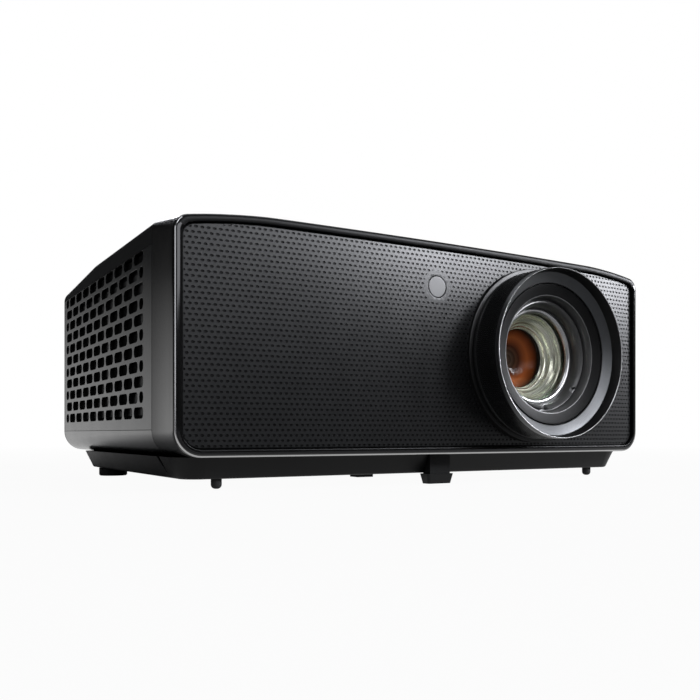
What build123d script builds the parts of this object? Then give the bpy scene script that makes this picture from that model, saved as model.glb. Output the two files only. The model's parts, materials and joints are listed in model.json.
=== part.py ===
from build123d import *
import math
import os

# A home projector. Millimetres, +Z up, front faces -Y, the lens is on the +X side.
# The origin is on the table, under the centre of the overall box.

# Housing
width = 337.0
body_height = 125.0
body_depth = 264.0          # crown of the front bezel to the rear face
body_bottom = 18.0          # underside of the housing above the table
top_band = 12.0             # the top cover's edge down each side
shoulder_width = 53.5       # the top falls towards the sides over this width
shoulder_radius = 290.0     # at the front and rear ends
top_corner = 8.3
mid_shoulder = 4000.0       # between the ends the top is nearly flat and its corners are tighter
mid_corner = 4.0
bottom_radius = 14.0        # long lower edges
least_radius = 2.0          # inner corners of deep flanges
wall = 2.5
front_bow = 5.5             # the front falls back this much at its two ends
bezel_face = 4.5
bezel_thickness = 4.0
bezel_round = 2.6
rear_chamfer = 0.7
frame_depth = 42.0          # crown of the bezel to the seam behind the front frame
fall_depth = 95.0           # the corners round off over this much of the rear
frame_wall = 4.3
flange_setback = 12.0
flange_thickness = 2.5
flange_width = 8.0
panel_recess = 3.1
panel_crown = 3.3           # pillow of the front panel at its middle
panel_thickness = 2.5
panel_gap = 0.15
seat_gap = 0.1              # between pieces of one body that slip together
moving_gap = 0.4            # between pieces that move past each other
running_gap = 0.06          # radial fit of turning and sliding lens parts

# Side grilles
slot_length = 18.0
slot_height = 6.3
slot_pitch = 21.0
slot_row_pitch = 8.58
slot_corner = 1.9
slot_least = 4.0            # a shorter end slot is left out
grille_top_margin = 3.5     # seam to the middle of the top row
grille_front_margin = 15.5
grille_rear_margin = 6.0

# Lens, with stations measured back from its front rim
lens_x = 64.4               # to the right of the middle
lens_drop = 1.3             # lens axis below the middle of the housing
lens_reach = 26.0           # rim in front of the bezel's crown
lens_margin = 3.5           # between the collar and the bezel, with the lens at mid height
collar_step = 2.3           # collar outside the focus ring
ring_wall = 3.8             # focus ring over the barrel
ring_length = 22.6
rim_width = 2.0
rim_chamfer = 0.5
mouth_depth = 7.0
hood_cone = 2.3
web_thickness = 3.1
barrel_wall = 5.04
barrel_nose = 12.9
barrel_length = 51.1
barrel_end_wall = 8.0
tail_radius = 34.0
tail_length = 37.0
tail_wall = 4.0
cell_front = 9.7
cell_length = 38.3
cell_dish = 2.0
dish_width = 7.3
step_width = 2.2
step_depth = 6.3
step_lean = 1.4
crest_height = 2.1
crest_width = 1.0
funnel_width = 3.2
funnel_depth = 10.8
seat_ledge = 1.0
seat_depth = 13.5
retainer_width = 2.3
retainer_thickness = 3.0
element_thickness = 3.0
element_crown = 1.8
spacer_length = 10.3
spacer_wall = 3.1            # at its mouth
throat_ledge = 0.9           # the spacer's throat inside the inner glass
inner_inset = 9.7            # inner glass inside the seat
inner_thickness = 6.0
rear_glass_thickness = 8.0
rear_glass_setback = 6.0
collar_reach = 3.0          # in front of the bezel's crown
collar_tail = 9.0
zoom_setback = 51.0
zoom_width = 12.0
zoom_wall = 4.0
lever_width = 10.0
lever_depth = 8.0
lever_drop = 0.8            # lever tip below the top of the housing
zoom_swing = 12.0           # degrees each way
sensor_x = -11.8
sensor_drop = 26.9          # below the top of the housing
sensor_radius = 6.15
sensor_depth = 4.0
sensor_edge = 0.5

# Base, feet and fixings
plinth_drop = 11.6
plinth_front = 14.0
plinth_rear = 36.5          # in front of the rear face
plinth_inset = 4.5          # from the side of the housing
plinth_slope = 5.5          # further in at the underside, all round
plinth_wall = 3.0
plinth_edge = 1.8
plinth_corner = 16.0
notch_at = 44.0
notch_width = 5.0
notch_depth = 7.0
notch_lean = 2.0            # its tip lies nearer the front
foot_width = 15.0
foot_depth = 7.0
foot_setback = 12.8
foot_pad_width = 19.4
foot_pad_depth = 9.4
foot_pad_height = 6.0
foot_pad_taper = 1.2
foot_pad_corner = 1.5
foot_rise = 45.0            # length of the column inside the housing
peg_inset = 29.5
peg_setback = 25.0
peg_lift = 1.0              # clear of the table
peg_radius = 2.9
peg_nose = 2.3
rear_foot_inset = 23.8
rear_foot_ahead = 52.0      # in front of the rear face
rear_foot_radius = 9.8
rear_foot_gap = 0.8
rear_foot_chamfer = 0.8
stud_radius = 4.0
stud_rise = 7.0
boss_wall = 2.5
release_x = -43.5
release_setback = 33.0
release_width = 10.6
release_depth = 9.0
release_drop = 2.0
release_lip = 2.0
mount_x = 190.0
mount_y = 130.0
mount_ahead = 139.0
insert_radius = 3.5
thread_radius = 1.65
insert_length = 8.0
screw_inset = 58.5
screw_front = 46.0
screw_rear = 60.0
screw_radius = 3.5
screw_head = 1.3

# Keypad on the top cover
keypad_inset = 98.5
keypad_ahead = 74.0
keypad_width = 92.0
keypad_depth = 44.0
keypad_corner = 6.0
keypad_drop = 0.8
keypad_thickness = 2.5
keypad_ledge = 3.0
key_radius = 4.6
key_spacing = 12.2
key_proud = 0.6
key_flange = 1.0
key_flange_thickness = 1.2
key_gap = 0.3
key_travel = 0.8
key_board_thickness = 1.6
power_key_offset = -32.0
cross_offset = 20.0
menu_key_offset = -12.0
light_radius = 1.2
light_spacing = 6.0
light_offset = 15.0

# Works inside
board_thickness = 1.6
board_post = 5.5
post_radius = 3.0
post_inset = 6.0
fan_size = 80.0
fan_thickness = 25.0
fan_bore = 37.5
fan_blade_gap = 1.2
fan_hub = 14.0
fan_blades = 7
fan_blade_thickness = 1.6
fan_blade_pitch = 38.0
fan_strut = 4.0
fan_plate = 3.0
fan_pin = 1.5
intake_shift = 14.5         # middle of the pair behind the middle of the housing
intake_spacing = 83.0
exhaust_shift = 0.75        # in front of the middle of its room
engine_width = 90.0
engine_height = 78.0
engine_length = 75.0
engine_corner = 6.0
engine_leg = 5.0
lens_mount_thickness = 4.0
lens_mount_width = 100.0
lens_mount_height = 76.0
chip_width = 60.0
chip_height = 50.0
sink_base = 4.0
sink_fin = 1.6
sink_fin_length = 26.0
sink_fins = 9
laser_width = 26.0
laser_depth = 55.0
laser_height = 62.0
laser_setback = 10.0        # behind the engine's front face
wheel_radius = 27.0
wheel_thickness = 1.2
wheel_hub = 8.0
wheel_shaft = 2.0
motor_radius = 11.0
motor_length = 16.0
wheel_setback = 37.0        # behind the engine's front face
power_gap = 11.0            # between the intake fans and the power board
power_width = 110.0
power_setback = 58.0
power_ahead = 68.0
part_margin = 5.0
capacitor_radius = 10.0
capacitor_height = 30.0
capacitor_pitch = 26.0
transformer = (35.0, 36.0, 28.0)
rectifier = (4.0, 90.0, 26.0)
processor = 34.0
processor_height = 9.0
speaker_gap = 43.0
speaker_width = 60.0
speaker_depth = 44.0
speaker_ahead = 56.0
speaker_height = 42.0
speaker_cone = 16.0
speaker_dish = 3.0
speaker_corner = 4.0
main_inset = 38.5           # from the right side
main_gap = 16.0             # from the speaker
main_ahead = 68.0
main_post = 9.5

# Sockets in the rear panel
socket_shell = 0.6
hdmi_at = (70.0, 46.0)      # sockets along the main board, from its right edge
hdmi_mouth = (14.2, 4.8)
hdmi_depth = 13.0
usb_at = 94.0
usb_mouth = (12.8, 5.4)
usb_depth = 15.0
network_at = 118.0
network_mouth = (12.4, 9.0)
network_depth = 18.0
network_shell = 1.8
jack_at = (26.0, 12.0)
jack_bore = 1.8
jack_nose = 3.6
jack_size = 9.0
jack_depth = 14.0
inlet_inset = 40.5          # from the left side
inlet_rise = 27.5           # above the floor of the case
inlet_mouth = (25.0, 17.0)
inlet_shell = 2.5
inlet_depth = 17.0
inlet_chamfer = 5.0
blade_size = (2.0, 4.0)
blade_length = 8.0
blade_spread = 7.0
blade_rise = 3.0

# Worked out from the values above
body_top = body_bottom + body_height
body_mid = body_bottom + body_height / 2
half = width / 2
lens_z = body_mid - lens_drop
collar_radius = body_height / 2 - bezel_face - lens_margin
ring_radius = collar_radius - collar_step
barrel_radius = ring_radius - ring_wall
dish_radius = barrel_radius - barrel_wall - running_gap - dish_width
step_radius = dish_radius - step_width
funnel_radius = step_radius - funnel_width
seat_radius = funnel_radius - seat_ledge
spacer_mouth = seat_radius - spacer_wall
inner_radius = seat_radius - inner_inset
spacer_throat = inner_radius - throat_ledge
sensor_z = body_top - sensor_drop
plinth_half_top = half - plinth_inset
keypad_x = -half + keypad_inset
engine_x = (lens_x - engine_width / 2, lens_x + engine_width / 2)
engine_z = (lens_z - engine_height / 2, lens_z + engine_height / 2)
fan_inner = -half + wall + fan_thickness
power_x = (fan_inner + power_gap, fan_inner + power_gap + power_width)
speaker_x = (fan_inner + speaker_gap, fan_inner + speaker_gap + speaker_width)
main_x = (speaker_x[1] + main_gap, half - main_inset)
hdmi_x = [main_x[1] - at for at in hdmi_at]
usb_x = main_x[1] - usb_at
network_x = main_x[1] - network_at
jack_x = [main_x[1] - at for at in jack_at]
inlet_x = -half + inlet_inset
y_front = (lens_reach - body_depth) / 2
y_rear = y_front + body_depth
y_rim = y_front - lens_reach
y_seam = y_front + frame_depth
y_shell_end = y_rear - wall
z_low_seam = body_bottom + bottom_radius
z_high_seam = body_top - top_band
y_swell = y_front + bezel_thickness + front_bow
y_fall = y_rear - fall_depth
z_floor = body_bottom + wall
inlet_z = z_floor + inlet_rise
z_plinth = body_bottom - plinth_drop
bow_radius = (half ** 2 + front_bow ** 2) / (2 * front_bow)
past = 1.0                  # how far a cutting shape runs past a face

LOW = (Align.MIN, Align.MIN, Align.MIN)


def block(x_span, y_span, z_span):
    size = [high - low for low, high in (x_span, y_span, z_span)]
    return Pos(x_span[0], y_span[0], z_span[0]) * Box(*size, align=LOW)


def along_y(sketch, y0, y1):
    plane = Plane(origin=(0, y1, 0), x_dir=(1, 0, 0), z_dir=(0, -1, 0))
    return extrude(plane * sketch, amount=y1 - y0)


def along_x(sketch, x0, x1):
    plane = Plane(origin=(x0, 0, 0), x_dir=(0, 1, 0), z_dir=(1, 0, 0))
    return extrude(plane * sketch, amount=x1 - x0)


def along_z(sketch, z0, z1):
    return extrude(Plane.XY.offset(z0) * sketch, amount=z1 - z0)


def post(x, y, z0, z1, radius):
    return along_z(Pos(x, y) * Circle(radius), z0, z1)


def rod_y(x, z, y0, y1, radius):
    return along_y(Pos(x, z) * Circle(radius), y0, y1)


def rod_x(y, z, x0, x1, radius):
    return along_x(Pos(y, z) * Circle(radius), x0, x1)


def behind(setback):
    return y_front + setback


def ahead(distance):
    return y_rear - distance


def section(inset, mid=False):
    # The housing's outline: flat top, falling shoulders, upper corners and round lower edges.
    side, top, bottom = half - inset, body_top - inset, body_bottom + inset
    bend = (mid_shoulder if mid else shoulder_radius) - inset
    corner = max((mid_corner if mid else top_corner) - inset, least_radius)
    lower = max(bottom_radius - inset, least_radius)
    flat = half - shoulder_width
    turn = math.asin((side - flat - corner) / (bend - corner))
    hub = (side - corner, top - bend + (bend - corner) * math.cos(turn))

    def on_bend(angle):
        return flat + bend * math.sin(angle), top - bend * (1 - math.cos(angle))

    def on_corner(angle):
        return hub[0] + corner * math.sin(angle), hub[1] + corner * math.cos(angle)

    def on_lower(angle):
        return side - lower + lower * math.sin(angle), bottom + lower + lower * math.cos(angle)

    quarter = math.pi / 2
    arcs = [(on_bend, 0, turn), (on_corner, turn, quarter), (on_lower, quarter, 2 * quarter)]
    edges = []
    for mirror in (1, -1):
        for place, start, end in arcs:
            points = [place(start), place((start + end) / 2), place(end)]
            edges.append(ThreePointArc(*[(mirror * x, z) for x, z in points]))
        edges.append(Line((mirror * side, hub[1]), (mirror * side, bottom + lower)))
    edges.append(Line((-flat, top), (flat, top)))
    edges.append(Line((lower - side, bottom), (side - lower, bottom)))
    return make_face(edges)


def across(sketch, y):
    return Plane(origin=(0, y, 0), x_dir=(1, 0, 0), z_dir=(0, -1, 0)) * sketch


def front_body(inset):
    # From the bezel's outline to the tighter outline of the housing's middle.
    straight = along_y(section(inset), y_front, y_swell)
    swell = loft([across(section(inset), y_swell), across(section(inset, True), y_seam)], ruled=True)
    return straight + swell


def main_body(inset):
    straight = along_y(section(inset, True), y_seam, y_fall)
    fall = loft([across(section(inset, True), y_fall), across(section(inset), y_shell_end)], ruled=True)
    return straight + fall


def bow_at(x):
    return bow_radius - math.sqrt(bow_radius ** 2 - x ** 2)


def bowed_slab(front_offset, back_y=None, thickness=None):
    # A full-height slab whose front follows the bow, with a bowed or a flat back.
    reach = half + wall
    start = y_front + front_offset
    front = ThreePointArc((-reach, start + bow_at(reach)), (0, start), (reach, start + bow_at(reach)))
    if thickness is None:
        back = Line((reach, back_y), (-reach, back_y))
    else:
        end = start + thickness
        back = ThreePointArc((reach, end + bow_at(reach)), (0, end), (-reach, end + bow_at(reach)))
    sides = [Line(front @ 1, back @ 0), Line(back @ 1, front @ 0)]
    return along_z(make_face([front, sides[0], back, sides[1]]), 0, body_top + wall)


def turned(points):
    # A ring or disc about the lens axis. Points are radius and distance behind the rim.
    plane = Plane(origin=(lens_x, y_rim, lens_z), x_dir=(1, 0, 0), z_dir=(0, 0, 1))
    face = plane * make_face(Polyline(*points, close=True))
    return revolve(face, Axis((lens_x, y_rim, lens_z), (0, 1, 0)))


def tube(inner, outer, start, end):
    return turned([(inner, start), (outer, start), (outer, end), (inner, end)])


def opening_width():
    return width - 2 * bezel_face, body_height - 2 * bezel_face


def panel_depth(x, z):
    # Pillow of the front panel over the bow, as a distance behind the bezel's crown.
    across, tall = opening_width()
    crown = panel_crown * (1 - (2 * x / across) ** 2) * (1 - (2 * (z - body_mid) / tall) ** 2)
    return panel_recess + bow_at(x) - crown


def front_bezel():
    ring = section(0) - section(bezel_face)
    bezel = along_y(ring, y_front - past, behind(bezel_thickness + front_bow + past))
    bezel &= bowed_slab(0, None, bezel_thickness)
    rim = bezel.edges().filter_by(lambda e: abs(e.center().Y - y_front) < front_bow + bezel_thickness / 2)
    outer = [e for e in rim if on_outer_front(e)]
    return fillet(outer, bezel_round)


def on_outer_front(edge):
    points = [edge @ t for t in (0.0, 0.5, 1.0)]
    on_front = all(abs(p.Y - y_front - bow_at(p.X)) < 0.05 for p in points)
    mid = points[1]
    reach = max(abs(mid.X) - (half - bezel_face), abs(mid.Z - body_mid) - (body_height / 2 - bezel_face))
    return on_front and reach > bezel_face / 2


def front_frame():
    frame = (front_body(0) - front_body(frame_wall)) & bowed_slab(bezel_thickness, y_seam)
    flange = section(frame_wall / 2) - section(frame_wall + flange_width)
    frame += along_y(flange, behind(flange_setback), behind(flange_setback + flange_thickness))
    swing = math.radians(zoom_swing)
    reach = (body_top - lens_z) * math.sin(swing) + lever_width / 2 * math.cos(swing) + 2 * moving_gap
    lever_y = (y_rim + zoom_setback + (zoom_width - lever_depth) / 2, lever_depth)
    frame -= block((lens_x - reach, lens_x + reach),
                   (lever_y[0] - 2 * moving_gap, lever_y[0] + lever_y[1] + 2 * moving_gap),
                   (body_top - frame_wall - past, body_top + past))
    frame -= column(moving_gap, body_bottom - past, body_bottom + frame_wall + flange_width + past)
    return frame - rod_y(lens_x, lens_z, behind(flange_setback) - past, y_seam, barrel_radius + moving_gap)


def front_panel():
    across, tall = opening_width()
    steps = 8
    grid = []
    for i in range(steps + 1):
        x = (i / steps - 0.5) * across
        rows = [(j / steps - 0.5) * tall + body_mid for j in range(steps + 1)]
        grid.append([Vector(x, behind(panel_depth(x, z)), z) for z in rows])
    skin = Face.make_surface_from_array_of_points(grid)
    panel = extrude(skin, amount=panel_thickness, dir=(0, 1, 0))
    panel &= along_y(section(bezel_face + panel_gap), y_front - panel_crown - past, y_seam)
    panel -= rod_y(lens_x, lens_z, y_rim, y_seam, collar_radius + seat_gap)
    panel -= rod_y(sensor_x, sensor_z, y_rim, y_seam, sensor_radius + panel_gap)
    return panel


def sensor_window():
    start = behind(panel_depth(sensor_x, sensor_z))
    disc = rod_y(sensor_x, sensor_z, start, start + sensor_depth, sensor_radius)
    return fillet(disc.edges().group_by(Axis.Y)[0], sensor_edge)


def shell_part(keep):
    return (main_body(0) - main_body(wall)) & keep


def top_cover():
    cover = shell_part(block((-half, half), (y_seam, y_shell_end), (z_high_seam, body_top)))
    keypad = keypad_outline(seat_gap)
    return cover - along_z(keypad, body_top - wall - past, body_top + past)


def bottom_case():
    case = shell_part(block((-half, half), (y_seam, y_shell_end), (body_bottom, z_low_seam)))
    for x, y in board_corners(power_x, power_span()):
        case += post(x, y, z_floor - wall / 2, z_floor + board_post, post_radius)
    for x, y in board_corners(main_x, main_span()):
        case += post(x, y, z_floor - wall / 2, z_floor + main_post, post_radius)
    return case


def board_corners(x_span, y_span):
    xs = (x_span[0] + post_inset, x_span[1] - post_inset)
    ys = (y_span[0] + post_inset, y_span[1] - post_inset)
    return [(x, y) for x in xs for y in ys]


def power_span():
    return behind(power_setback), ahead(power_ahead)


def main_span():
    return ahead(main_ahead), y_shell_end - seat_gap


def slot_shape(start, end, z):
    low, high = z - slot_height / 2, z + slot_height / 2
    c = slot_corner
    return make_face(Polyline((start + c, low), (end - c, low), (end, low + c), (end, high - c),
                              (end - c, high), (start + c, high), (start, high - c), (start, low + c),
                              close=True))


def slot_field(start, end, top, bottom):
    # Rows of long slots, each second row shifted by half a pitch and closed by short end slots.
    slots = []
    rows = int((top - bottom - slot_height) / slot_row_pitch) + 1
    for row in range(rows):
        z = top - row * slot_row_pitch
        at = start - (row % 2) * slot_pitch / 2
        while at < end:
            low, high = max(at, start), min(at + slot_length, end)
            if high - low >= slot_least:
                slots.append(slot_shape(low, high, z))
            at += slot_pitch
    return slots


def side_grille(side):
    sheet = Pos((y_seam + y_shell_end) / 2, (z_low_seam + z_high_seam) / 2) * Rectangle(
        y_shell_end - y_seam, z_high_seam - z_low_seam)
    sheet = sheet - slot_field(y_seam + grille_front_margin, y_shell_end - grille_rear_margin,
                               z_high_seam - grille_top_margin, z_low_seam)
    x0 = -half if side < 0 else half - wall
    return along_x(sheet, x0, x0 + wall)


def rear_panel():
    panel = along_y(section(0), y_shell_end, y_rear)
    panel = chamfer(panel.faces().sort_by(Axis.Y)[-1].edges(), rear_chamfer)
    sound = slot_field(*speaker_x, z_floor + speaker_height - slot_height / 2, z_floor + slot_height)
    for sketch in socket_outlines() + sound:
        panel -= along_y(sketch, y_shell_end - past, y_rear + past)
    return panel


def board_top():
    return z_floor + main_post + board_thickness


def socket_frame(x, mouth, shell, grow=0.0):
    across, tall = mouth[0] + 2 * shell, mouth[1] + 2 * shell
    return Pos(x, board_top() + tall / 2) * Rectangle(across + 2 * grow, tall + 2 * grow)


def inlet_outline(grow):
    across, tall = inlet_mouth[0] + 2 * grow, inlet_mouth[1] + 2 * grow
    sketch = Rectangle(across, tall)
    sketch = chamfer(sketch.vertices().group_by(Axis.Y)[-1], inlet_chamfer)
    return Pos(inlet_x, inlet_z) * sketch


def jack_centre():
    return board_top() + jack_size / 2


def socket_outlines():
    outlines = [socket_frame(x, hdmi_mouth, socket_shell, seat_gap) for x in hdmi_x]
    outlines.append(socket_frame(usb_x, usb_mouth, socket_shell, seat_gap))
    outlines.append(socket_frame(network_x, network_mouth, network_shell, seat_gap))
    outlines += [Pos(x, jack_centre()) * Circle(jack_nose + seat_gap) for x in jack_x]
    outlines.append(inlet_outline(inlet_shell + seat_gap))
    return outlines


def shell_socket(x, mouth, shell, depth):
    outer = along_y(socket_frame(x, mouth, shell), y_rear - depth, y_rear)
    mouth_z = board_top() + shell + mouth[1] / 2
    cavity = Pos(x, mouth_z) * Rectangle(*mouth)
    return outer - along_y(cavity, y_rear - depth + shell, y_rear + past)


def audio_jack(x):
    z = jack_centre()
    body_y = (y_rear - jack_depth, y_shell_end - seat_gap)
    jack = block((x - jack_size / 2, x + jack_size / 2), body_y, (z - jack_size / 2, z + jack_size / 2))
    jack += rod_y(x, z, y_shell_end - wall, y_rear, jack_nose)
    return jack - rod_y(x, z, y_rear - jack_depth + wall, y_rear + past, jack_bore)


def mains_inlet():
    inlet = along_y(inlet_outline(inlet_shell), y_rear - inlet_depth, y_rear)
    floor = y_rear - inlet_depth + inlet_shell
    inlet -= along_y(inlet_outline(0), floor, y_rear + past)
    for x, z in ((-blade_spread, -blade_rise), (blade_spread, -blade_rise), (0, blade_rise)):
        blade = Pos(inlet_x + x, inlet_z + z) * Rectangle(*blade_size)
        inlet += along_y(blade, floor - inlet_shell / 2, floor + blade_length)
    return inlet


def focus_ring():
    inner = ring_radius - rim_width
    bore = barrel_radius + running_gap
    lip = cell_radius() + 1.5 * moving_gap
    web = mouth_depth + hood_cone
    return turned([(inner, 0), (ring_radius - rim_chamfer, 0), (ring_radius, rim_chamfer),
                   (ring_radius, ring_length), (bore, ring_length), (bore, web + web_thickness),
                   (lip, web + web_thickness), (lip, web), (inner, mouth_depth)])


def cell_radius():
    return barrel_radius - barrel_wall - running_gap


def cell_station(depth):
    return cell_front + depth


def focus_cell():
    dish = cell_station(cell_dish)
    step = dish + step_depth
    crest = step - crest_height
    funnel = cell_station(funnel_depth)
    seat = cell_station(seat_depth)
    back = cell_station(cell_length)
    throat = back - inner_thickness - moving_gap
    return turned([(cell_radius(), cell_front), (dish_radius, dish), (dish_radius - step_lean, step),
                   (step_radius, step),
                   (step_radius, crest + 0.5 * crest_width), (step_radius - crest_width, crest),
                   (funnel_radius, funnel), (funnel_radius, seat), (seat_radius, seat), (seat_radius, throat),
                   (inner_radius + seat_gap, throat), (inner_radius + seat_gap, back), (cell_radius(), back)])


def retaining_ring():
    start = cell_station(seat_depth)
    outer = seat_radius - seat_gap
    inner = outer - retainer_width
    bevel = retainer_width / 2
    return turned([(inner, start + bevel), (outer - bevel, start), (outer, start),
                   (outer, start + retainer_thickness), (inner, start + retainer_thickness)])


def glass_disc(radius, edge, thickness, crown, rim=0.0):
    # A disc of glass with a domed front, a flat back and an optional flat rim round the dome.
    plane = Plane(origin=(lens_x, y_rim, lens_z), x_dir=(1, 0, 0), z_dir=(0, 0, 1))
    dome = ThreePointArc((-radius, edge), (0, edge - crown), (radius, edge)).trim(0.5, 1.0)
    back = edge + thickness
    corners = [(radius, edge), (radius + rim, edge), (radius + rim, back), (0, back), (0, edge - crown)]
    if rim == 0:
        corners = corners[1:]
    outline = [dome] + [Line(a, b) for a, b in zip(corners, corners[1:])]
    return revolve(plane * make_face(outline), Axis((lens_x, y_rim, lens_z), (0, 1, 0)))


def element_edge():
    return cell_station(seat_depth) + retainer_thickness


def front_element():
    rim = retainer_width + seat_gap
    return glass_disc(seat_radius - seat_gap - rim, element_edge(), element_thickness, element_crown, rim)


def lens_spacer():
    start = element_edge() + element_thickness
    outer = seat_radius - seat_gap
    return turned([(spacer_mouth, start), (outer, start), (outer, start + spacer_length),
                   (spacer_throat, start + spacer_length)])


def inner_element():
    start = cell_station(cell_length) - inner_thickness
    crown = element_crown / 2
    return glass_disc(inner_radius, start + crown, inner_thickness - crown, crown)


def lens_barrel():
    bore = barrel_radius - barrel_wall
    end = barrel_nose + barrel_length
    tail = end + tail_length
    throat = tail_radius - tail_wall
    return turned([(bore, barrel_nose), (barrel_radius, barrel_nose), (barrel_radius, end),
                   (tail_radius, end), (tail_radius, tail), (throat, tail),
                   (throat, end - barrel_end_wall), (bore, end - barrel_end_wall)])


def barrel_end():
    return barrel_nose + barrel_length + tail_length


def rear_element():
    start = barrel_end() - rear_glass_setback - rear_glass_thickness
    return glass_disc(tail_radius - tail_wall - seat_gap, start + element_crown,
                      rear_glass_thickness - element_crown, element_crown)


def lens_collar():
    start = lens_reach - collar_reach
    return tube(barrel_radius + seat_gap, collar_radius, start, start + collar_reach + collar_tail)


def zoom_ring():
    bore = barrel_radius + running_gap
    ring = tube(bore, bore + zoom_wall, zoom_setback, zoom_setback + zoom_width)
    y0 = y_rim + zoom_setback + (zoom_width - lever_depth) / 2
    lever = block((lens_x - lever_width / 2, lens_x + lever_width / 2), (y0, y0 + lever_depth),
                  (lens_z + bore + zoom_wall / 2, body_top - lever_drop))
    return ring + lever


def lens_mount():
    end = y_rim + barrel_end()
    plate = block((lens_x - lens_mount_width / 2, lens_x + lens_mount_width / 2),
                  (end - lens_mount_thickness, end),
                  (lens_z - lens_mount_height / 2, lens_z + lens_mount_height / 2))
    return plate - rod_y(lens_x, lens_z, end - lens_mount_thickness - past, end + past,
                         tail_radius + seat_gap)


def engine_span():
    start = y_rim + barrel_end()
    return start, start + engine_length


def optical_engine():
    start, end = engine_span()
    engine = block(engine_x, (start, end), engine_z)
    engine = fillet(engine.edges().filter_by(Axis.Z), engine_corner)
    inset = engine_corner + engine_leg
    for x in (engine_x[0] + inset, engine_x[1] - inset):
        for y in (start + inset, end - inset):
            engine += post(x, y, z_floor, engine_z[0] + past, engine_leg)
    return engine


def chip_centre():
    return sum(engine_x) / 2, sum(engine_z) / 2


def imaging_board():
    x, z = chip_centre()
    end = engine_span()[1]
    across, tall = chip_width / 2 + part_margin, chip_height / 2 + part_margin
    return block((x - across, x + across), (end, end + board_thickness), (z - tall, z + tall))


def chip_heatsink():
    x, z = chip_centre()
    start = engine_span()[1] + board_thickness
    sink = block((x - chip_width / 2, x + chip_width / 2), (start, start + sink_base),
                 (z - chip_height / 2, z + chip_height / 2))
    step = (chip_width - sink_fin) / (sink_fins - 1)
    for i in range(sink_fins):
        left = x - chip_width / 2 + i * step
        sink += block((left, left + sink_fin), (start, start + sink_base + sink_fin_length),
                      (z - chip_height / 2, z + chip_height / 2))
    return sink


def laser_span():
    start = engine_span()[0] + laser_setback
    mid = sum(engine_z) / 2
    return (start, start + laser_depth), (mid - laser_height / 2, mid + laser_height / 2)


def laser_module():
    y_span, z_span = laser_span()
    return block((engine_x[1], engine_x[1] + laser_width), y_span, z_span)


def laser_heatsink():
    y_span, z_span = laser_span()
    x = engine_x[1] + laser_width
    sink = block((x, x + sink_base), y_span, z_span)
    step = (laser_depth - sink_fin) / (sink_fins - 1)
    reach = half - wall - 2 * moving_gap - x - sink_base
    for i in range(sink_fins):
        front = y_span[0] + i * step
        sink += block((x, x + sink_base + reach), (front, front + sink_fin), z_span)
    return sink


def wheel_y():
    return engine_span()[0] + wheel_setback


def wheel_motor():
    x = engine_x[0]
    motor = rod_x(wheel_y(), lens_z, x - motor_length, x, motor_radius)
    return motor + rod_x(wheel_y(), lens_z, x - 2 * motor_length, x - motor_length / 2, wheel_shaft)


def colour_wheel():
    x = engine_x[0] - motor_length - moving_gap
    hub = rod_x(wheel_y(), lens_z, x - motor_length / 2, x, wheel_hub)
    face = x - motor_length / 4
    disc = rod_x(wheel_y(), lens_z, face - wheel_thickness, face, wheel_radius)
    return hub + disc - rod_x(wheel_y(), lens_z, x - motor_length, x + past, wheel_shaft + running_gap)


def fan_frame(side, y):
    # The frame stands against the inside of the grille, with its hub plate on the inner face.
    outer = side * (half - wall)
    inner = outer - side * fan_thickness
    span = sorted((outer, inner))
    frame = along_x(Pos(y, body_mid) * (Rectangle(fan_size, fan_size) - Circle(fan_bore)), *span)
    plate = sorted((inner, inner + side * fan_plate))
    spider = rod_x(y, body_mid, *plate, fan_hub)
    reach = fan_bore + past
    for angle in (90, 210, 330):
        arm = Pos(reach / 2, 0) * Rectangle(reach, fan_strut)
        spider += along_x(Pos(y, body_mid) * Rot(0, 0, angle) * arm, *plate)
    return frame + spider - rod_x(y, body_mid, *plate, fan_pin + running_gap)


def fan_rotor(side, y):
    outer = side * (half - wall)
    inner = outer - side * fan_thickness
    low = inner + side * (fan_plate + moving_gap)
    high = outer - side * fan_plate
    hub = rod_x(y, body_mid, *sorted((low, high)), fan_hub)
    reach = fan_bore - fan_blade_gap
    depth = abs(high - low) - 2 * moving_gap
    span = reach - fan_hub / 2
    chord = depth / math.sin(math.radians(fan_blade_pitch))
    blade = Pos(0, 0, (fan_hub + span) / 2) * Rot(0, 0, fan_blade_pitch) * Box(
        fan_blade_thickness, chord, span)
    trim = rod_x(0, 0, -depth / 2, depth / 2, reach)
    blade &= trim
    rotor = hub
    for i in range(fan_blades):
        rotor += Pos((low + high) / 2, y, body_mid) * Rot(360 * i / fan_blades, 0, 0) * blade
    return rotor + rod_x(y, body_mid, *sorted((inner, high)), fan_pin)


def standing(x, y, size, z):
    # A component standing on a board, sunk a little into it.
    return block((x - size[0] / 2, x + size[0] / 2), (y - size[1] / 2, y + size[1] / 2),
                 (z - board_thickness / 2, z + size[2]))


def power_board():
    y0, y1 = power_span()
    z = z_floor + board_post
    board = block(power_x, (y0, y1), (z, z + board_thickness))
    top = z + board_thickness
    y_mid = (y0 + y1) / 2
    board += standing(sum(power_x) / 2, y_mid, transformer, top)
    for i in (-1, 0, 1):
        x = power_x[0] + part_margin + 2 * capacitor_radius
        board += post(x, y_mid + i * capacitor_pitch, top - board_thickness / 2, top + capacitor_height,
                      capacitor_radius)
    return board + standing(power_x[1] - 4 * part_margin, y_mid, rectifier, top)


def main_board():
    z = z_floor + main_post
    board = block(main_x, main_span(), (z, z + board_thickness))
    y = main_span()[0] + processor / 2 + part_margin
    return board + standing(sum(main_x) / 2, y, (processor, processor, processor_height), z + board_thickness)


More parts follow.
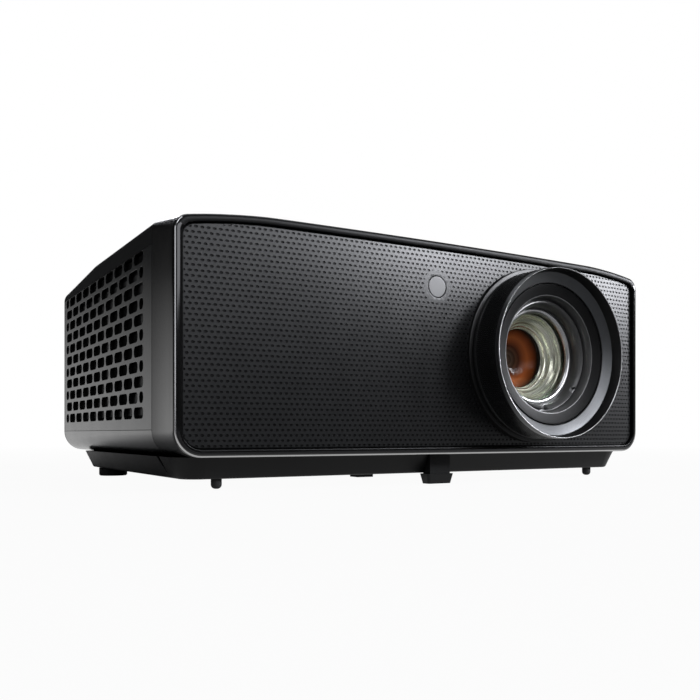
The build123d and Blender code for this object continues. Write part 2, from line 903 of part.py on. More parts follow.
def speaker():
    y0 = ahead(speaker_ahead)
    box = block(speaker_x, (y0, y0 + speaker_depth), (z_floor, z_floor + speaker_height))
    box = fillet(box.edges().filter_by(Axis.Z), speaker_corner)
    x = sum(speaker_x) / 2
    z = z_floor + speaker_height / 2
    y1 = y0 + speaker_depth
    return box - rod_y(x, z, y1 - speaker_dish, y1 + past, speaker_cone)


def keypad_outline(grow):
    sketch = RectangleRounded(keypad_width + 2 * grow, keypad_depth + 2 * grow, keypad_corner)
    return Pos(keypad_x, ahead(keypad_ahead)) * sketch


def keypad_top():
    return body_top - keypad_drop


def key_places():
    x, y = keypad_x + cross_offset, ahead(keypad_ahead)
    return {
        "power_key": (keypad_x + power_key_offset, y),
        "menu_key": (keypad_x + menu_key_offset, y),
        "enter_key": (x, y),
        "up_key": (x, y + key_spacing),
        "down_key": (x, y - key_spacing),
        "left_key": (x - key_spacing, y),
        "right_key": (x + key_spacing, y),
    }


def light_places():
    y = ahead(keypad_ahead) + light_offset
    return [(keypad_x + power_key_offset + i * light_spacing, y) for i in range(3)]


def keypad_plate():
    top = keypad_top()
    plate = along_z(keypad_outline(0), top - keypad_thickness, top)
    low = body_top - wall - key_flange_thickness
    plate += along_z(keypad_outline(keypad_ledge), low, body_top - wall)
    plate -= along_z(keypad_outline(-keypad_ledge), low - past, top - keypad_thickness)
    for x, y in key_places().values():
        plate -= post(x, y, low - past, top + past, key_radius + key_gap)
    for x, y in light_places():
        plate -= post(x, y, low - past, top + past, light_radius + seat_gap)
    return plate


def key_underside():
    return keypad_top() - keypad_thickness - key_gap - key_flange_thickness


def key(place):
    x, y = place
    top = keypad_top() + key_proud
    cap = post(x, y, key_underside(), top, key_radius)
    cap = fillet(cap.edges().group_by(Axis.Z)[-1], key_proud)
    return cap + post(x, y, key_underside(), key_underside() + key_flange_thickness, key_radius + key_flange)


def keypad_board():
    z = key_underside() - key_travel - key_gap
    board = along_z(keypad_outline(-seat_gap), z - key_board_thickness, z)
    inner = keypad_outline(-keypad_ledge)
    skirt = along_z(keypad_outline(-seat_gap) - inner, z - key_board_thickness / 2,
                    body_top - wall - key_flange_thickness)
    return board + skirt


def indicator_lights():
    top = keypad_top()
    return [post(x, y, top - keypad_thickness - past, top, light_radius) for x, y in light_places()]


def column(grow, z0, z1):
    across = foot_width / 2 + grow
    y0 = behind(foot_setback)
    return block((-across, across), (y0 - grow, y0 + foot_depth + grow), (z0, z1))


def elevator_foot():
    shaft = column(0, foot_pad_height / 2, body_bottom + foot_rise)
    mid = behind(foot_setback) + foot_depth / 2
    taper = 2 * foot_pad_taper
    low = Pos(0, mid) * RectangleRounded(foot_pad_width - taper, foot_pad_depth - taper, foot_pad_corner)
    high = Pos(0, mid) * RectangleRounded(foot_pad_width, foot_pad_depth, foot_pad_corner)
    return shaft + loft([low, Plane.XY.offset(foot_pad_height) * high], ruled=True)


def plinth_block(inset):
    y0, y1 = behind(plinth_front) + inset, ahead(plinth_rear) - inset
    wide, deep, corner = 2 * (plinth_half_top - inset), y1 - y0, plinth_corner - inset
    lean = 2 * plinth_slope
    centre = Pos(0, (y0 + y1) / 2)
    low = centre * RectangleRounded(wide - lean, deep - lean, corner - plinth_slope)
    high = centre * RectangleRounded(wide, deep, corner)
    return loft([Plane.XY.offset(z_plinth) * low, Plane.XY.offset(body_bottom) * high], ruled=True)


def base_plinth():
    solid = plinth_block(0)
    plinth = fillet(solid.faces().sort_by(Axis.Z)[0].edges(), plinth_edge)
    plinth -= plinth_block(1.2 * plinth_wall) & block((-half, half), (y_front, y_rear),
                                                      (z_plinth + plinth_wall, body_bottom))
    for x, y in mount_places():
        plinth += post(x, y, z_plinth, body_bottom, insert_radius + boss_wall)
        plinth -= post(x, y, z_plinth - past, z_plinth + insert_length, insert_radius)
    for x, y in rear_foot_places():
        plinth += post(x, y, z_plinth + plinth_wall / 2, body_bottom, stud_radius + boss_wall) & solid
        hole_top = z_plinth + stud_rise + 2 * moving_gap
        plinth -= post(x, y, z_plinth - past, hole_top, stud_radius + running_gap)
    for x, y in screw_places():
        plinth += post(x, y, z_plinth + plinth_wall / 2, body_bottom, screw_radius)
    plinth -= column(moving_gap, z_plinth - past, body_bottom + past)
    plinth -= release_shape(moving_gap, 0)
    tip = notch_at - notch_lean
    notch = make_face(Polyline((behind(notch_at), body_bottom + past), (behind(tip), z_plinth + plinth_edge),
                               (behind(notch_at + notch_width), body_bottom + past), close=True))
    notch_reach = (plinth_slope + notch_depth) / 2
    for side in (-1, 1):
        edge = side * plinth_half_top
        plinth -= along_x(notch, *sorted((edge - side * notch_reach, edge)))
    return plinth


def mount_places():
    y = ahead(mount_ahead)
    return [(sx * mount_x / 2, y + sy * mount_y / 2) for sx in (-1, 1) for sy in (-1, 1)]


def rear_foot_places():
    return [(side * (half - rear_foot_inset), ahead(rear_foot_ahead)) for side in (-1, 1)]


def screw_places():
    x = half - screw_inset
    return [(side * x, y) for side in (-1, 1) for y in (behind(screw_front), ahead(screw_rear))]


def mount_inserts():
    inserts = []
    for x, y in mount_places():
        bush = post(x, y, z_plinth, z_plinth + insert_length, insert_radius)
        inserts.append(bush - post(x, y, z_plinth - past, z_plinth + insert_length + past, thread_radius))
    return inserts


def case_screws():
    heads = [post(x, y, z_plinth - screw_head, z_plinth, screw_radius) for x, y in screw_places()]
    return [fillet(head.edges().group_by(Axis.Z)[0], screw_head / 2) for head in heads]


def release_shape(grow, z0):
    y = behind(release_setback)
    across, deep = release_width / 2 + grow, release_depth / 2 + grow
    return block((release_x - across, release_x + across), (y - deep, y + deep),
                 (z0, z_plinth + plinth_wall + past))


def foot_release():
    y = behind(release_setback)
    button = release_shape(0, z_plinth - release_drop)
    across, deep = release_width / 2 + release_lip, release_depth / 2 + release_lip
    low = z_plinth + plinth_wall + key_gap
    return button + block((release_x - across, release_x + across), (y - deep, y + deep),
                          (low, low + release_lip))


def front_pegs():
    pegs = []
    for side in (-1, 1):
        peg = post(side * (half - peg_inset), behind(peg_setback), peg_lift, z_plinth, peg_radius)
        pegs.append(fillet(peg.edges().group_by(Axis.Z)[0], peg_nose))
    return pegs


def rear_pad(place):
    x, y = place
    pad = post(x, y, 0, z_plinth - rear_foot_gap, rear_foot_radius)
    return chamfer(pad.edges().group_by(Axis.Z)[0], rear_foot_chamfer)


def rear_stud(place):
    x, y = place
    return post(x, y, z_plinth - rear_foot_gap, z_plinth + stud_rise, stud_radius)


def make_parts():
    left_foot, right_foot = rear_foot_places()
    middle = (y_front + y_rear) / 2 + intake_shift
    intakes = [middle - intake_spacing / 2, middle + intake_spacing / 2]
    exhaust = (laser_span()[0][1] + y_shell_end) / 2 - exhaust_shift
    parts = {
        "front_bezel": front_bezel(),
        "front_frame": front_frame(),
        "front_panel": front_panel(),
        "sensor_window": sensor_window(),
        "top_cover": top_cover(),
        "bottom_case": bottom_case(),
        "side_grille_left": side_grille(-1),
        "side_grille_right": side_grille(1),
        "rear_panel": rear_panel(),
        "base_plinth": base_plinth(),
        "lens_collar": lens_collar(),
        "focus_ring": focus_ring(),
        "focus_cell": focus_cell(),
        "retaining_ring": retaining_ring(),
        "front_element": front_element(),
        "lens_spacer": lens_spacer(),
        "inner_element": inner_element(),
        "lens_barrel": lens_barrel(),
        "zoom_ring": zoom_ring(),
        "rear_element": rear_element(),
        "lens_mount": lens_mount(),
        "optical_engine": optical_engine(),
        "imaging_board": imaging_board(),
        "chip_heatsink": chip_heatsink(),
        "laser_module": laser_module(),
        "laser_heatsink": laser_heatsink(),
        "wheel_motor": wheel_motor(),
        "colour_wheel": colour_wheel(),
        "intake_fan_frames": [fan_frame(-1, y) for y in intakes],
        "intake_rotor_front": fan_rotor(-1, intakes[0]),
        "intake_rotor_rear": fan_rotor(-1, intakes[1]),
        "exhaust_fan_frame": fan_frame(1, exhaust),
        "exhaust_rotor": fan_rotor(1, exhaust),
        "power_board": power_board(),
        "main_board": main_board(),
        "speaker": speaker(),
        "hdmi_sockets": [shell_socket(x, hdmi_mouth, socket_shell, hdmi_depth) for x in hdmi_x],
        "usb_socket": shell_socket(usb_x, usb_mouth, socket_shell, usb_depth),
        "network_socket": shell_socket(network_x, network_mouth, network_shell, network_depth),
        "audio_jacks": [audio_jack(x) for x in jack_x],
        "mains_inlet": mains_inlet(),
        "keypad_plate": keypad_plate(),
        "keypad_board": keypad_board(),
        "indicator_lights": indicator_lights(),
        "elevator_foot": elevator_foot(),
        "foot_release": foot_release(),
        "front_pegs": front_pegs(),
        "rear_pad_left": rear_pad(left_foot),
        "rear_pad_right": rear_pad(right_foot),
        "rear_stud_left": rear_stud(left_foot),
        "rear_stud_right": rear_stud(right_foot),
        "mount_inserts": mount_inserts(),
        "case_screws": case_screws(),
    }
    parts.update({name: key(place) for name, place in key_places().items()})
    return parts


def main():
    os.makedirs("parts", exist_ok=True)
    for name, shape in make_parts().items():
        solids = shape if isinstance(shape, list) else [shape]
        export_step(Compound(children=[s for item in solids for s in item.solids()]), f"parts/{name}.step")


main()
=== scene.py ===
import json
import math

import bmesh
import bpy
from mathutils import Matrix, Vector


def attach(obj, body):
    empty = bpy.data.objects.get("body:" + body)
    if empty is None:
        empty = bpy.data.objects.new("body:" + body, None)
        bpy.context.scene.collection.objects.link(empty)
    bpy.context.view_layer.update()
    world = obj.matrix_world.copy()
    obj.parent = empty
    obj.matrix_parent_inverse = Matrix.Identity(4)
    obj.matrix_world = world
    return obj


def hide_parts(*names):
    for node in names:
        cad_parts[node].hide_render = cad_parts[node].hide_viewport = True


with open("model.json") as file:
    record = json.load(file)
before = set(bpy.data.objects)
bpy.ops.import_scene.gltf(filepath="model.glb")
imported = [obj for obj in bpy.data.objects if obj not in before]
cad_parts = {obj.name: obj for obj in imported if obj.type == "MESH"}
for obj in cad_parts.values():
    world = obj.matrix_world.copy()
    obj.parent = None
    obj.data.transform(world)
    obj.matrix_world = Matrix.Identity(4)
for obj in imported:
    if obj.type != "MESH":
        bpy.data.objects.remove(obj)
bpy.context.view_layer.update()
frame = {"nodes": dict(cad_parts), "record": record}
nodes = frame["nodes"]
scene = bpy.context.scene
scene.view_settings.view_transform = "Standard"
mm = 0.001
weld = 0.002 * mm  # vertices closer than this become one
inPlane = 1e-6     # in metres, how far a vertex may lie off the plane that it belongs to
hairline = 1e-7    # in metres, the same for cuts and level edges
print("frame loaded:", len(nodes), "nodes")


class Sock:
    # one node socket in a material, with the arithmetic that the finishes use
    def __init__(self, tree, socket):
        self.tree = tree
        self.socket = socket

    def math(self, operation, first, second=None):
        return self.tree.add("ShaderNodeMath", {"operation": operation}, {0: first, 1: second})

    def __add__(self, other):
        return self.math("ADD", self, other)

    def __radd__(self, other):
        return self.math("ADD", other, self)

    def __sub__(self, other):
        return self.math("SUBTRACT", self, other)

    def __rsub__(self, other):
        return self.math("SUBTRACT", other, self)

    def __mul__(self, other):
        return self.math("MULTIPLY", self, other)

    def __rmul__(self, other):
        return self.math("MULTIPLY", other, self)

    def __truediv__(self, other):
        return self.math("DIVIDE", self, other)

    def __rtruediv__(self, other):
        return self.math("DIVIDE", other, self)

    def __abs__(self):
        return self.math("ABSOLUTE", self)

    def larger(self, other):
        return self.math("MAXIMUM", self, other)


class NodeTree:
    # a node tree and the one method that adds its nodes
    def __init__(self, tree):
        self.nodes = tree.nodes
        self.links = tree.links

    def add(self, kind, settings=None, inputs=None, output=0):
        node = self.nodes.new(kind)
        for key, value in (settings or {}).items():
            if key == "stops":
                ramp = node.color_ramp
                while len(ramp.elements) < len(value):
                    ramp.elements.new(0.5)
                for element, (place, colour) in zip(ramp.elements, value):
                    element.position = place
                    element.color = colour
            else:
                setattr(node, key, value)
        for key, value in (inputs or {}).items():
            if value is None:
                continue
            if isinstance(value, Sock):
                self.links.new(value.socket, node.inputs[key])
            else:
                node.inputs[key].default_value = value
        return Sock(self, node.outputs[output])

    def split(self, vector):
        node = self.add("ShaderNodeSeparateXYZ", None, {0: vector}).socket.node
        return [Sock(self, node.outputs[i]) for i in range(3)]

    def remap(self, value, low, high, fromLow=0.3, fromHigh=0.7):
        # from 0.3 to 0.7 is where a noise has most of its values
        span = {"From Min": fromLow, "From Max": fromHigh, "To Min": low, "To Max": high}
        return self.add("ShaderNodeMapRange", None, {"Value": value, **span})

    def blend(self, factor, first, second):
        return self.add("ShaderNodeMix", {"data_type": "RGBA"}, {0: factor, 6: first, 7: second}, output=2)

    def seenBy(self, kind):
        return self.add("ShaderNodeLightPath", output="Is " + kind + " Ray")


socketNames = {"colour": "Base Color", "roughness": "Roughness", "metallic": "Metallic", "alpha": "Alpha",
               "specular": "Specular IOR Level", "normal": "Normal"}


class Finish(NodeTree):
    # a material: its nodes end in one principled shader
    def __init__(self, name):
        self.material = bpy.data.materials.new(name)
        self.material.use_nodes = True
        super().__init__(self.material.node_tree)
        self.shader = self.nodes["Principled BSDF"]

    def set(self, **values):
        for key, value in values.items():
            socket = self.shader.inputs[socketNames[key]]
            if isinstance(value, Sock):
                self.links.new(value.socket, socket)
            else:
                socket.default_value = value

    def objectCoords(self):
        return self.add("ShaderNodeTexCoord", output="Object")

    def noise(self, scale, detail=2.0, roughness=0.5):
        return self.add("ShaderNodeTexNoise", None, {"Vector": self.objectCoords(), "Scale": scale,
                                                     "Detail": detail, "Roughness": roughness})

    def bump(self, height, strength, distance):
        return self.add("ShaderNodeBump", None,
                        {"Height": height, "Strength": strength, "Distance": distance})

    def mixWith(self, share, other):
        # another shader takes the place of the finish's own, as far as share says
        own = Sock(self, self.shader.outputs[0])
        mixed = self.add("ShaderNodeMixShader", None, {0: share, 1: own, 2: other})
        self.links.new(mixed.socket, self.nodes["Material Output"].inputs["Surface"])


def grey(value, tint=0.0):
    return (value * (1 - tint), value, value * (1 + tint), 1.0)


# the seam behind the front frame: the line's half widths and the length of the painted shade ahead of it in
# mm, and that shade's strength
seamLine = {"core": 0.2, "fade": 0.42, "reach": 26.0, "shade": 0.5}


def seamLineAndPaintedShade(finish, seam):
    # a dark line at the seam between two mouldings, and painted shade on the one in front of it, darker
    # towards the seam
    deep = finish.split(finish.objectCoords())[1]
    dark = finish.add("ShaderNodeBsdfPrincipled", None,
                      {"Base Color": grey(0.001), "Roughness": 0.6, "Specular IOR Level": 0.05})
    line = finish.remap(abs(deep - seam), 1.0, 0.0, seamLine["core"] * mm, seamLine["fade"] * mm)
    ahead = finish.add("ShaderNodeMath", {"operation": "LESS_THAN"}, {0: deep, 1: seam})
    # painted shade: the moulding in front of the seam grows darker over the last stretch before it
    edge = finish.remap(deep, 0.0, seamLine["shade"], seam - seamLine["reach"] * mm, seam)
    finish.mixWith(line.larger(ahead * edge), dark)


def mouldedPlastic(name, low, high, roughness, specular, grain=1400.0, depth=0.01, spread=0.03, metallic=0.0,
                   seam=None):
    # satin moulding: slow tone drift, fine grain in the bump and a little variation in the gloss
    finish = Finish(name)
    drift = finish.noise(scale=18.0, detail=3.0)
    gloss = finish.noise(scale=60.0, detail=4.0)
    spark = finish.noise(grain, roughness=0.6)
    finish.set(colour=finish.blend(finish.remap(drift, 0.0, 1.0), low, high),
               roughness=finish.remap(gloss, roughness - spread / 2, roughness + spread),
               specular=specular, metallic=metallic, normal=finish.bump(spark, 0.2, depth * mm))
    # a seam adds a dark line and painted shade in front of it
    if seam is not None:
        seamLineAndPaintedShade(finish, seam * mm)
    return finish.material


lens = {"x": 64.4 * mm, "z": 79.2 * mm, "rim": -145.0 * mm, "steps": 128}
lathe = {"lines": 9000.0, "smoother": 0.05, "rougher": 0.07, "depth": 0.01}  # lines per metre, depth in mm


def lensPlace(finish):
    # object coordinates, counted from the lens axis
    return finish.add("ShaderNodeMapping", None,
                      {"Vector": finish.objectCoords(), "Location": (-lens["x"], 0, -lens["z"])})


def turnedMetal(name, low, high, roughness, metallic=1.0, specular=0.5, bump=0.12):
    # fine lathe lines that run round the lens axis
    finish = Finish(name)
    across, deep, tall = finish.split(lensPlace(finish))
    radius = finish.add("ShaderNodeMath", {"operation": "SQRT"}, {0: across * across + tall * tall})
    along = finish.add("ShaderNodeCombineXYZ", None, {0: radius * lathe["lines"], 1: deep * lathe["lines"]})
    lines = finish.add("ShaderNodeTexNoise", None, {"Vector": along, "Scale": 1.0, "Detail": 2.0})
    drift = finish.noise(scale=40.0)
    finish.set(colour=finish.blend(finish.remap(drift, 0.0, 1.0), low, high),
               roughness=finish.remap(lines, roughness - lathe["smoother"], roughness + lathe["rougher"]),
               metallic=metallic, specular=specular, normal=finish.bump(lines, bump, lathe["depth"] * mm))
    return finish.material


def finishPiece(name, bm, looks, body, replaced=(), sharpAngle=32.0, recalc=True):
    # looks are the finishes that the faces' material numbers stand for
    bmesh.ops.remove_doubles(bm, verts=bm.verts[:], dist=weld)
    if recalc:
        bmesh.ops.recalc_face_normals(bm, faces=bm.faces[:])
    mesh = bpy.data.meshes.new(name)
    bm.to_mesh(mesh)
    bm.free()
    for look in looks:
        mesh.materials.append(finishes[look])
    mesh.shade_smooth()
    mesh.set_sharp_from_angle(angle=math.radians(sharpAngle))
    piece = bpy.data.objects.new(name, mesh)
    scene.collection.objects.link(piece)
    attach(piece, body)
    if replaced:
        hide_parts(*replaced)
    return piece


def softenEdges(bm, width, segments, keep, angle=30.0):
    limit = math.radians(angle)
    edges = [e for e in bm.edges if len(e.link_faces) == 2 and e.calc_face_angle(0.0) > limit and keep(e)]
    bmesh.ops.bevel(bm, geom=edges, offset=width, segments=segments, affect="EDGES", profile=0.5, material=-1,
                    clamp_overlap=True)


def moveNew(bm, made, step):
    # moves the vertices that an operator has just made
    fresh = [g for g in made["geom"] if isinstance(g, bmesh.types.BMVert)]
    bmesh.ops.translate(bm, verts=fresh, vec=step)


def roundCorners(bm, corners, radius, steps):
    bmesh.ops.bevel(bm, geom=corners, offset=radius * mm, segments=steps, affect="VERTICES", profile=0.5,
                    material=-1)


def insetFace(bm, faces, width):
    # draws a border of this width in mm, and returns the face that it leaves in the middle
    bmesh.ops.inset_region(bm, faces=faces, thickness=width * mm, use_even_offset=True, use_boundary=True)
    return [max(bm.faces, key=lambda f: f.calc_area())]


def faceFront(bm):
    if sum(f.normal.y * f.calc_area() for f in bm.faces) > 0:
        bmesh.ops.reverse_faces(bm, faces=bm.faces[:])


def spinProfile(bm, points, centre, steps, closed=True):
    # points are (radius, distance behind the centre) in mm, turned about a line that runs front to back
    verts = [bm.verts.new(Vector(centre) + Vector((r, s, 0)) * mm) for r, s in points]
    pairs = list(zip(verts, verts[1:]))
    if closed:
        pairs.append((verts[-1], verts[0]))
    edges = [bm.edges.new(pair) for pair in pairs]
    bmesh.ops.spin(bm, geom=verts + edges, cent=centre, axis=(0, 1, 0), dvec=(0, 0, 0), angle=2 * math.pi,
                   steps=steps, use_merge=True, use_normal_flip=False, use_duplicate=False)
    bmesh.ops.remove_doubles(bm, verts=bm.verts[:], dist=weld)
    bmesh.ops.recalc_face_normals(bm, faces=bm.faces[:])


# housing, in mm: the outline of the front, and the seams that its covers meet at
housing = {"half": 168.5, "front": -119.0, "bottom": 18.0, "top": 143.0, "mid": 80.5, "shoulder": 53.5,
           "bend": 290.0, "corner": 8.3, "innerCorner": 6.5, "lower": 14.0, "innerLower": 2.0, "bow": 5.5,
           "seam": -77.0, "lowSeam": 32.0, "highSeam": 131.0, "rearSeam": 142.5}
bowRadius = (housing["half"] ** 2 + housing["bow"] ** 2) / (2 * housing["bow"])


def bowAt(x):
    return bowRadius - math.sqrt(bowRadius ** 2 - x * x)


def cornerPlan(inset):
    # the housing's outline drawn in by inset: flat top, falling shoulder, upper corner, round lower edge
    side, top = housing["half"] - inset, housing["top"] - inset
    bend, corner = housing["bend"] - inset, max(housing["corner"] - inset, housing["innerCorner"])
    flat = housing["half"] - housing["shoulder"]
    turn = math.asin((side - flat - corner) / (bend - corner))
    return {"side": side, "top": top, "bend": bend, "corner": corner, "flat": flat, "turn": turn,
            "hub": (side - corner, top - bend + (bend - corner) * math.cos(turn)),
            "low": housing["bottom"] + inset, "lower": max(housing["lower"] - inset, housing["innerLower"])}


outerPlan = cornerPlan(0.0)


def outlineGap(co, plan=outerPlan):
    # how far a point lies inside the housing's outline, in mm
    x, z = abs(co.x / mm), co.z / mm
    hubX, hubZ = plan["hub"]
    drop = plan["top"] - plan["bend"]
    if x > plan["side"] - plan["lower"] and z < plan["low"] + plan["lower"]:
        return plan["lower"] - math.hypot(x - plan["side"] + plan["lower"], z - plan["low"] - plan["lower"])
    gap = min(plan["side"] - x, z - plan["low"])
    if x < plan["flat"]:
        return min(gap, plan["top"] - z)
    if math.atan2(x - plan["flat"], z - drop) < plan["turn"]:
        return min(gap, plan["bend"] - math.hypot(x - plan["flat"], z - drop))
    if x > hubX and z > hubZ:
        return min(gap, plan["corner"] - math.hypot(x - hubX, z - hubZ))
    return gap


# bezel: one rounded outline, inset to a ring, drawn back and bowed; the tilts choose faces by their normals
# for the painted highlight and the painted shade
bezel = {"face": 4.0, "depth": 4.0, "outerEdge": 2.0, "outerSteps": 3, "innerEdge": 0.35, "innerSteps": 2,
         "cornerSteps": 10, "cuts": 40, "longEdge": 50.0, "merge": 0.05, "topFrom": 134.0, "frontTilt": 0.9,
         "highlightTilts": (0.6, 0.8), "darkTilt": 0.2, "darkLeftTilt": 0.6, "lowTilt": -0.1}


def roundedOutline(bm, inset):
    # a face in the front plane with the housing's outline, its long edges cut for the bow
    plan = cornerPlan(inset)
    slope = plan["bend"] * math.tan(plan["turn"] / 2)
    tuck = plan["corner"] * math.tan((math.pi / 2 - plan["turn"]) / 2)
    right = [(plan["flat"] + slope, plan["top"]), (plan["side"], plan["hub"][1] + tuck),
             (plan["side"], plan["low"])]
    places = right + [(-x, z) for x, z in reversed(right)]
    verts = [bm.verts.new((x * mm, housing["front"] * mm, z * mm)) for x, z in places]
    bm.faces.new(verts)
    for i, reach in enumerate((slope, tuck, plan["lower"])):  # each corner with its mirror image
        roundCorners(bm, [verts[i], verts[-1 - i]], reach, bezel["cornerSteps"])
    bmesh.ops.remove_doubles(bm, verts=bm.verts[:], dist=bezel["merge"] * mm)
    level = [e for e in bm.edges if abs(e.verts[0].co.z - e.verts[1].co.z) < hairline]
    bmesh.ops.bisect_edges(bm, edges=[e for e in level if e.calc_length() > bezel["longEdge"] * mm],
                           cuts=bezel["cuts"])
    return bm.faces[:]


def roundOpening(bm):
    # gives the opening rounder upper corners than the inset leaves
    opening = cornerPlan(bezel["face"])
    for v in bm.verts:
        hub = Vector((math.copysign(opening["hub"][0], v.co.x), housing["front"], opening["hub"][1])) * mm
        away = v.co - hub
        if away.x * v.co.x > 0 and away.z > 0 and outlineGap(v.co) > bezel["face"] / 2:
            v.co = hub + away * min(1.0, opening["corner"] * mm / away.length)


def onBezelFront(e):
    return all(abs(v.co.y - housing["front"] * mm) < inPlane for v in e.verts)


def nearOutline(e):
    return outlineGap((e.verts[0].co + e.verts[1].co) / 2) < bezel["face"] / 2


def paintBezel(bm):
    # material 1 is a painted highlight: a bright metal finish on the outer edge at the left and along the
    # bottom; 2 is painted shade: the dark finish on the top of the ring
    bm.normal_update()
    for face in bm.faces:
        c = face.calc_center_median()
        ahead, up = -face.normal.y, face.normal.z
        front = ahead > bezel["frontTilt"]
        highlit = bezel["highlightTilts"][0] < ahead < bezel["highlightTilts"][1] and outlineGap(c) < bezel["outerEdge"]
        dark = bezel["darkTilt"] if front or c.x > 0 else bezel["darkLeftTilt"]
        if up > dark or (front and c.z > bezel["topFrom"] * mm):
            face.material_index = 2
        elif highlit and (c.x < 0 or up < bezel["lowTilt"]):
            face.material_index = 1


def makeBezel():
    bm = bmesh.new()
    middle = insetFace(bm, roundedOutline(bm, 0.0), bezel["face"])
    roundOpening(bm)
    bmesh.ops.delete(bm, geom=middle, context="FACES_ONLY")
    moveNew(bm, bmesh.ops.extrude_face_region(bm, geom=bm.faces[:]), (0, bezel["depth"] * mm, 0))
    bmesh.ops.recalc_face_normals(bm, faces=bm.faces[:])
    softenEdges(bm, bezel["outerEdge"] * mm, bezel["outerSteps"],
                lambda e: onBezelFront(e) and nearOutline(e))
    softenEdges(bm, bezel["innerEdge"] * mm, bezel["innerSteps"],
                lambda e: onBezelFront(e) and not nearOutline(e))
    paintBezel(bm)
    for v in bm.verts:
        v.co.y += bowAt(v.co.x / mm) * mm
    return finishPiece("front_bezel_ring", bm, ("bezel", "paintedHighlight", "paintedShade"), "housing",
                       ("front_bezel",))


# front panel: a lattice of dimpled hexagons, clipped to the opening and pillowed
panel = {"recess": 2.0, "crown": 3.3, "opening": 4.0, "gap": 0.25, "holeRadius": 52.6, "sharpAngle": 26.0,
         "merge": 0.01, "clipSteps": (4, 6, 7)}
panelRim = {"width": 0.9, "drop": 0.8, "steps": (0.3, 0.35, 0.6), "lift": 0.02, "hem": 2.0, "hemReach": 0.05,
            "sharpAngle": 60.0}
dots = {"pitch": 3.209, "rowPitch": 2.745, "originX": -142.485, "originZ": 114.39, "columnsBefore": 10,
        "rowsBelow": 36, "columns": 128, "rows": 64, "spare": 1.0, "sides": 8, "radius": 1.1, "height": 0.66,
        "floor": 0.6, "depth": 0.4}


def panelDepth(x, z):
    across = 2 * (housing["half"] - panel["opening"])
    tall = housing["top"] - housing["bottom"] - 2 * panel["opening"]
    crown = panel["crown"] * (1 - (2 * x / across) ** 2) * (1 - (2 * (z - housing["mid"]) / tall) ** 2)
    return panel["recess"] + bowAt(x) - crown


def lensDistance(co):
    return math.hypot(co.x - lens["x"], co.z - lens["z"])


def sensorDistance(co):
    return math.hypot(co.x - sensor["x"] * mm, co.z - sensor["z"] * mm)


def makeDot(bm):
    # one hexagon of the lattice with its dimple, whose faces have material 1, the dark finish: painted shade
    # in the dimple
    upright = Matrix.Rotation(math.pi / 2, 4, "X")
    squeeze = dots["rowPitch"] / (dots["pitch"] * math.sqrt(3) / 2)
    reach = dots["pitch"] / math.sqrt(3) * mm
    hexagon = bmesh.ops.create_circle(bm, segments=6, radius=reach, matrix=upright)
    bmesh.ops.scale(bm, verts=hexagon["verts"], vec=(1, 1, squeeze))
    border = bm.edges[:]
    mouth = bmesh.ops.create_circle(bm, segments=dots["sides"], radius=dots["radius"] * mm, matrix=upright)
    bmesh.ops.scale(bm, verts=mouth["verts"], vec=(1, 1, dots["height"]))
    rim = [e for e in bm.edges if e not in border]
    bmesh.ops.bridge_loops(bm, edges=border + rim)
    flat = set(bm.faces)
    sunk = bmesh.ops.extrude_edge_only(bm, edges=rim)["geom"]
    low = [g for g in sunk if isinstance(g, bmesh.types.BMVert)]
    bmesh.ops.scale(bm, verts=low, vec=(dots["floor"], 1, dots["floor"]))
    for v in low:
        v.co.y = dots["depth"] * mm
    floorRim = [g for g in sunk if isinstance(g, bmesh.types.BMEdge)]
    floor = bmesh.ops.contextual_create(bm, geom=floorRim)["faces"][0]
    for face in bm.faces:
        face.material_index = int(face not in flat)
    bmesh.ops.recalc_face_normals(bm, faces=bm.faces[:])
    if floor.normal.y > 0:
        bmesh.ops.reverse_faces(bm, faces=bm.faces[:])


def doubleUp(bm, step, count):
    made = 1
    while made < count:
        copy = bmesh.ops.duplicate(bm, geom=bm.verts[:] + bm.edges[:] + bm.faces[:])
        moveNew(bm, copy, Vector(step) * made)
        made *= 2


def dropFaces(bm, outside):
    bmesh.ops.delete(bm, geom=[f for f in bm.faces if outside(f.calc_center_median())], context="FACES")


def clipToOutline(bm, inset):
    # tangent planes round the opening, so that the dots end in a clean rounded outline
    plan = cornerPlan(inset)
    quarter = math.pi / 2
    lowHub = (plan["side"] - plan["lower"], plan["low"] + plan["lower"])
    arcs = [((plan["flat"], plan["top"] - plan["bend"]), plan["bend"], 0.0, plan["turn"]),
            (plan["hub"], plan["corner"], plan["turn"], quarter),
            (lowHub, plan["lower"], quarter, 2 * quarter)]
    for side in (-1, 1):
        for (centre, radius, start, end), count in zip(arcs, panel["clipSteps"]):
            for i in range(count):
                a = start + (end - start) * i / (count - 1)
                way = Vector((side * math.sin(a), 0, math.cos(a)))
                point = Vector((side * centre[0], 0, centre[1])) + way * radius
                bmesh.ops.bisect_plane(bm, geom=bm.verts[:] + bm.edges[:] + bm.faces[:], dist=hairline,
                                       plane_co=point * mm, plane_no=way, clear_outer=True)


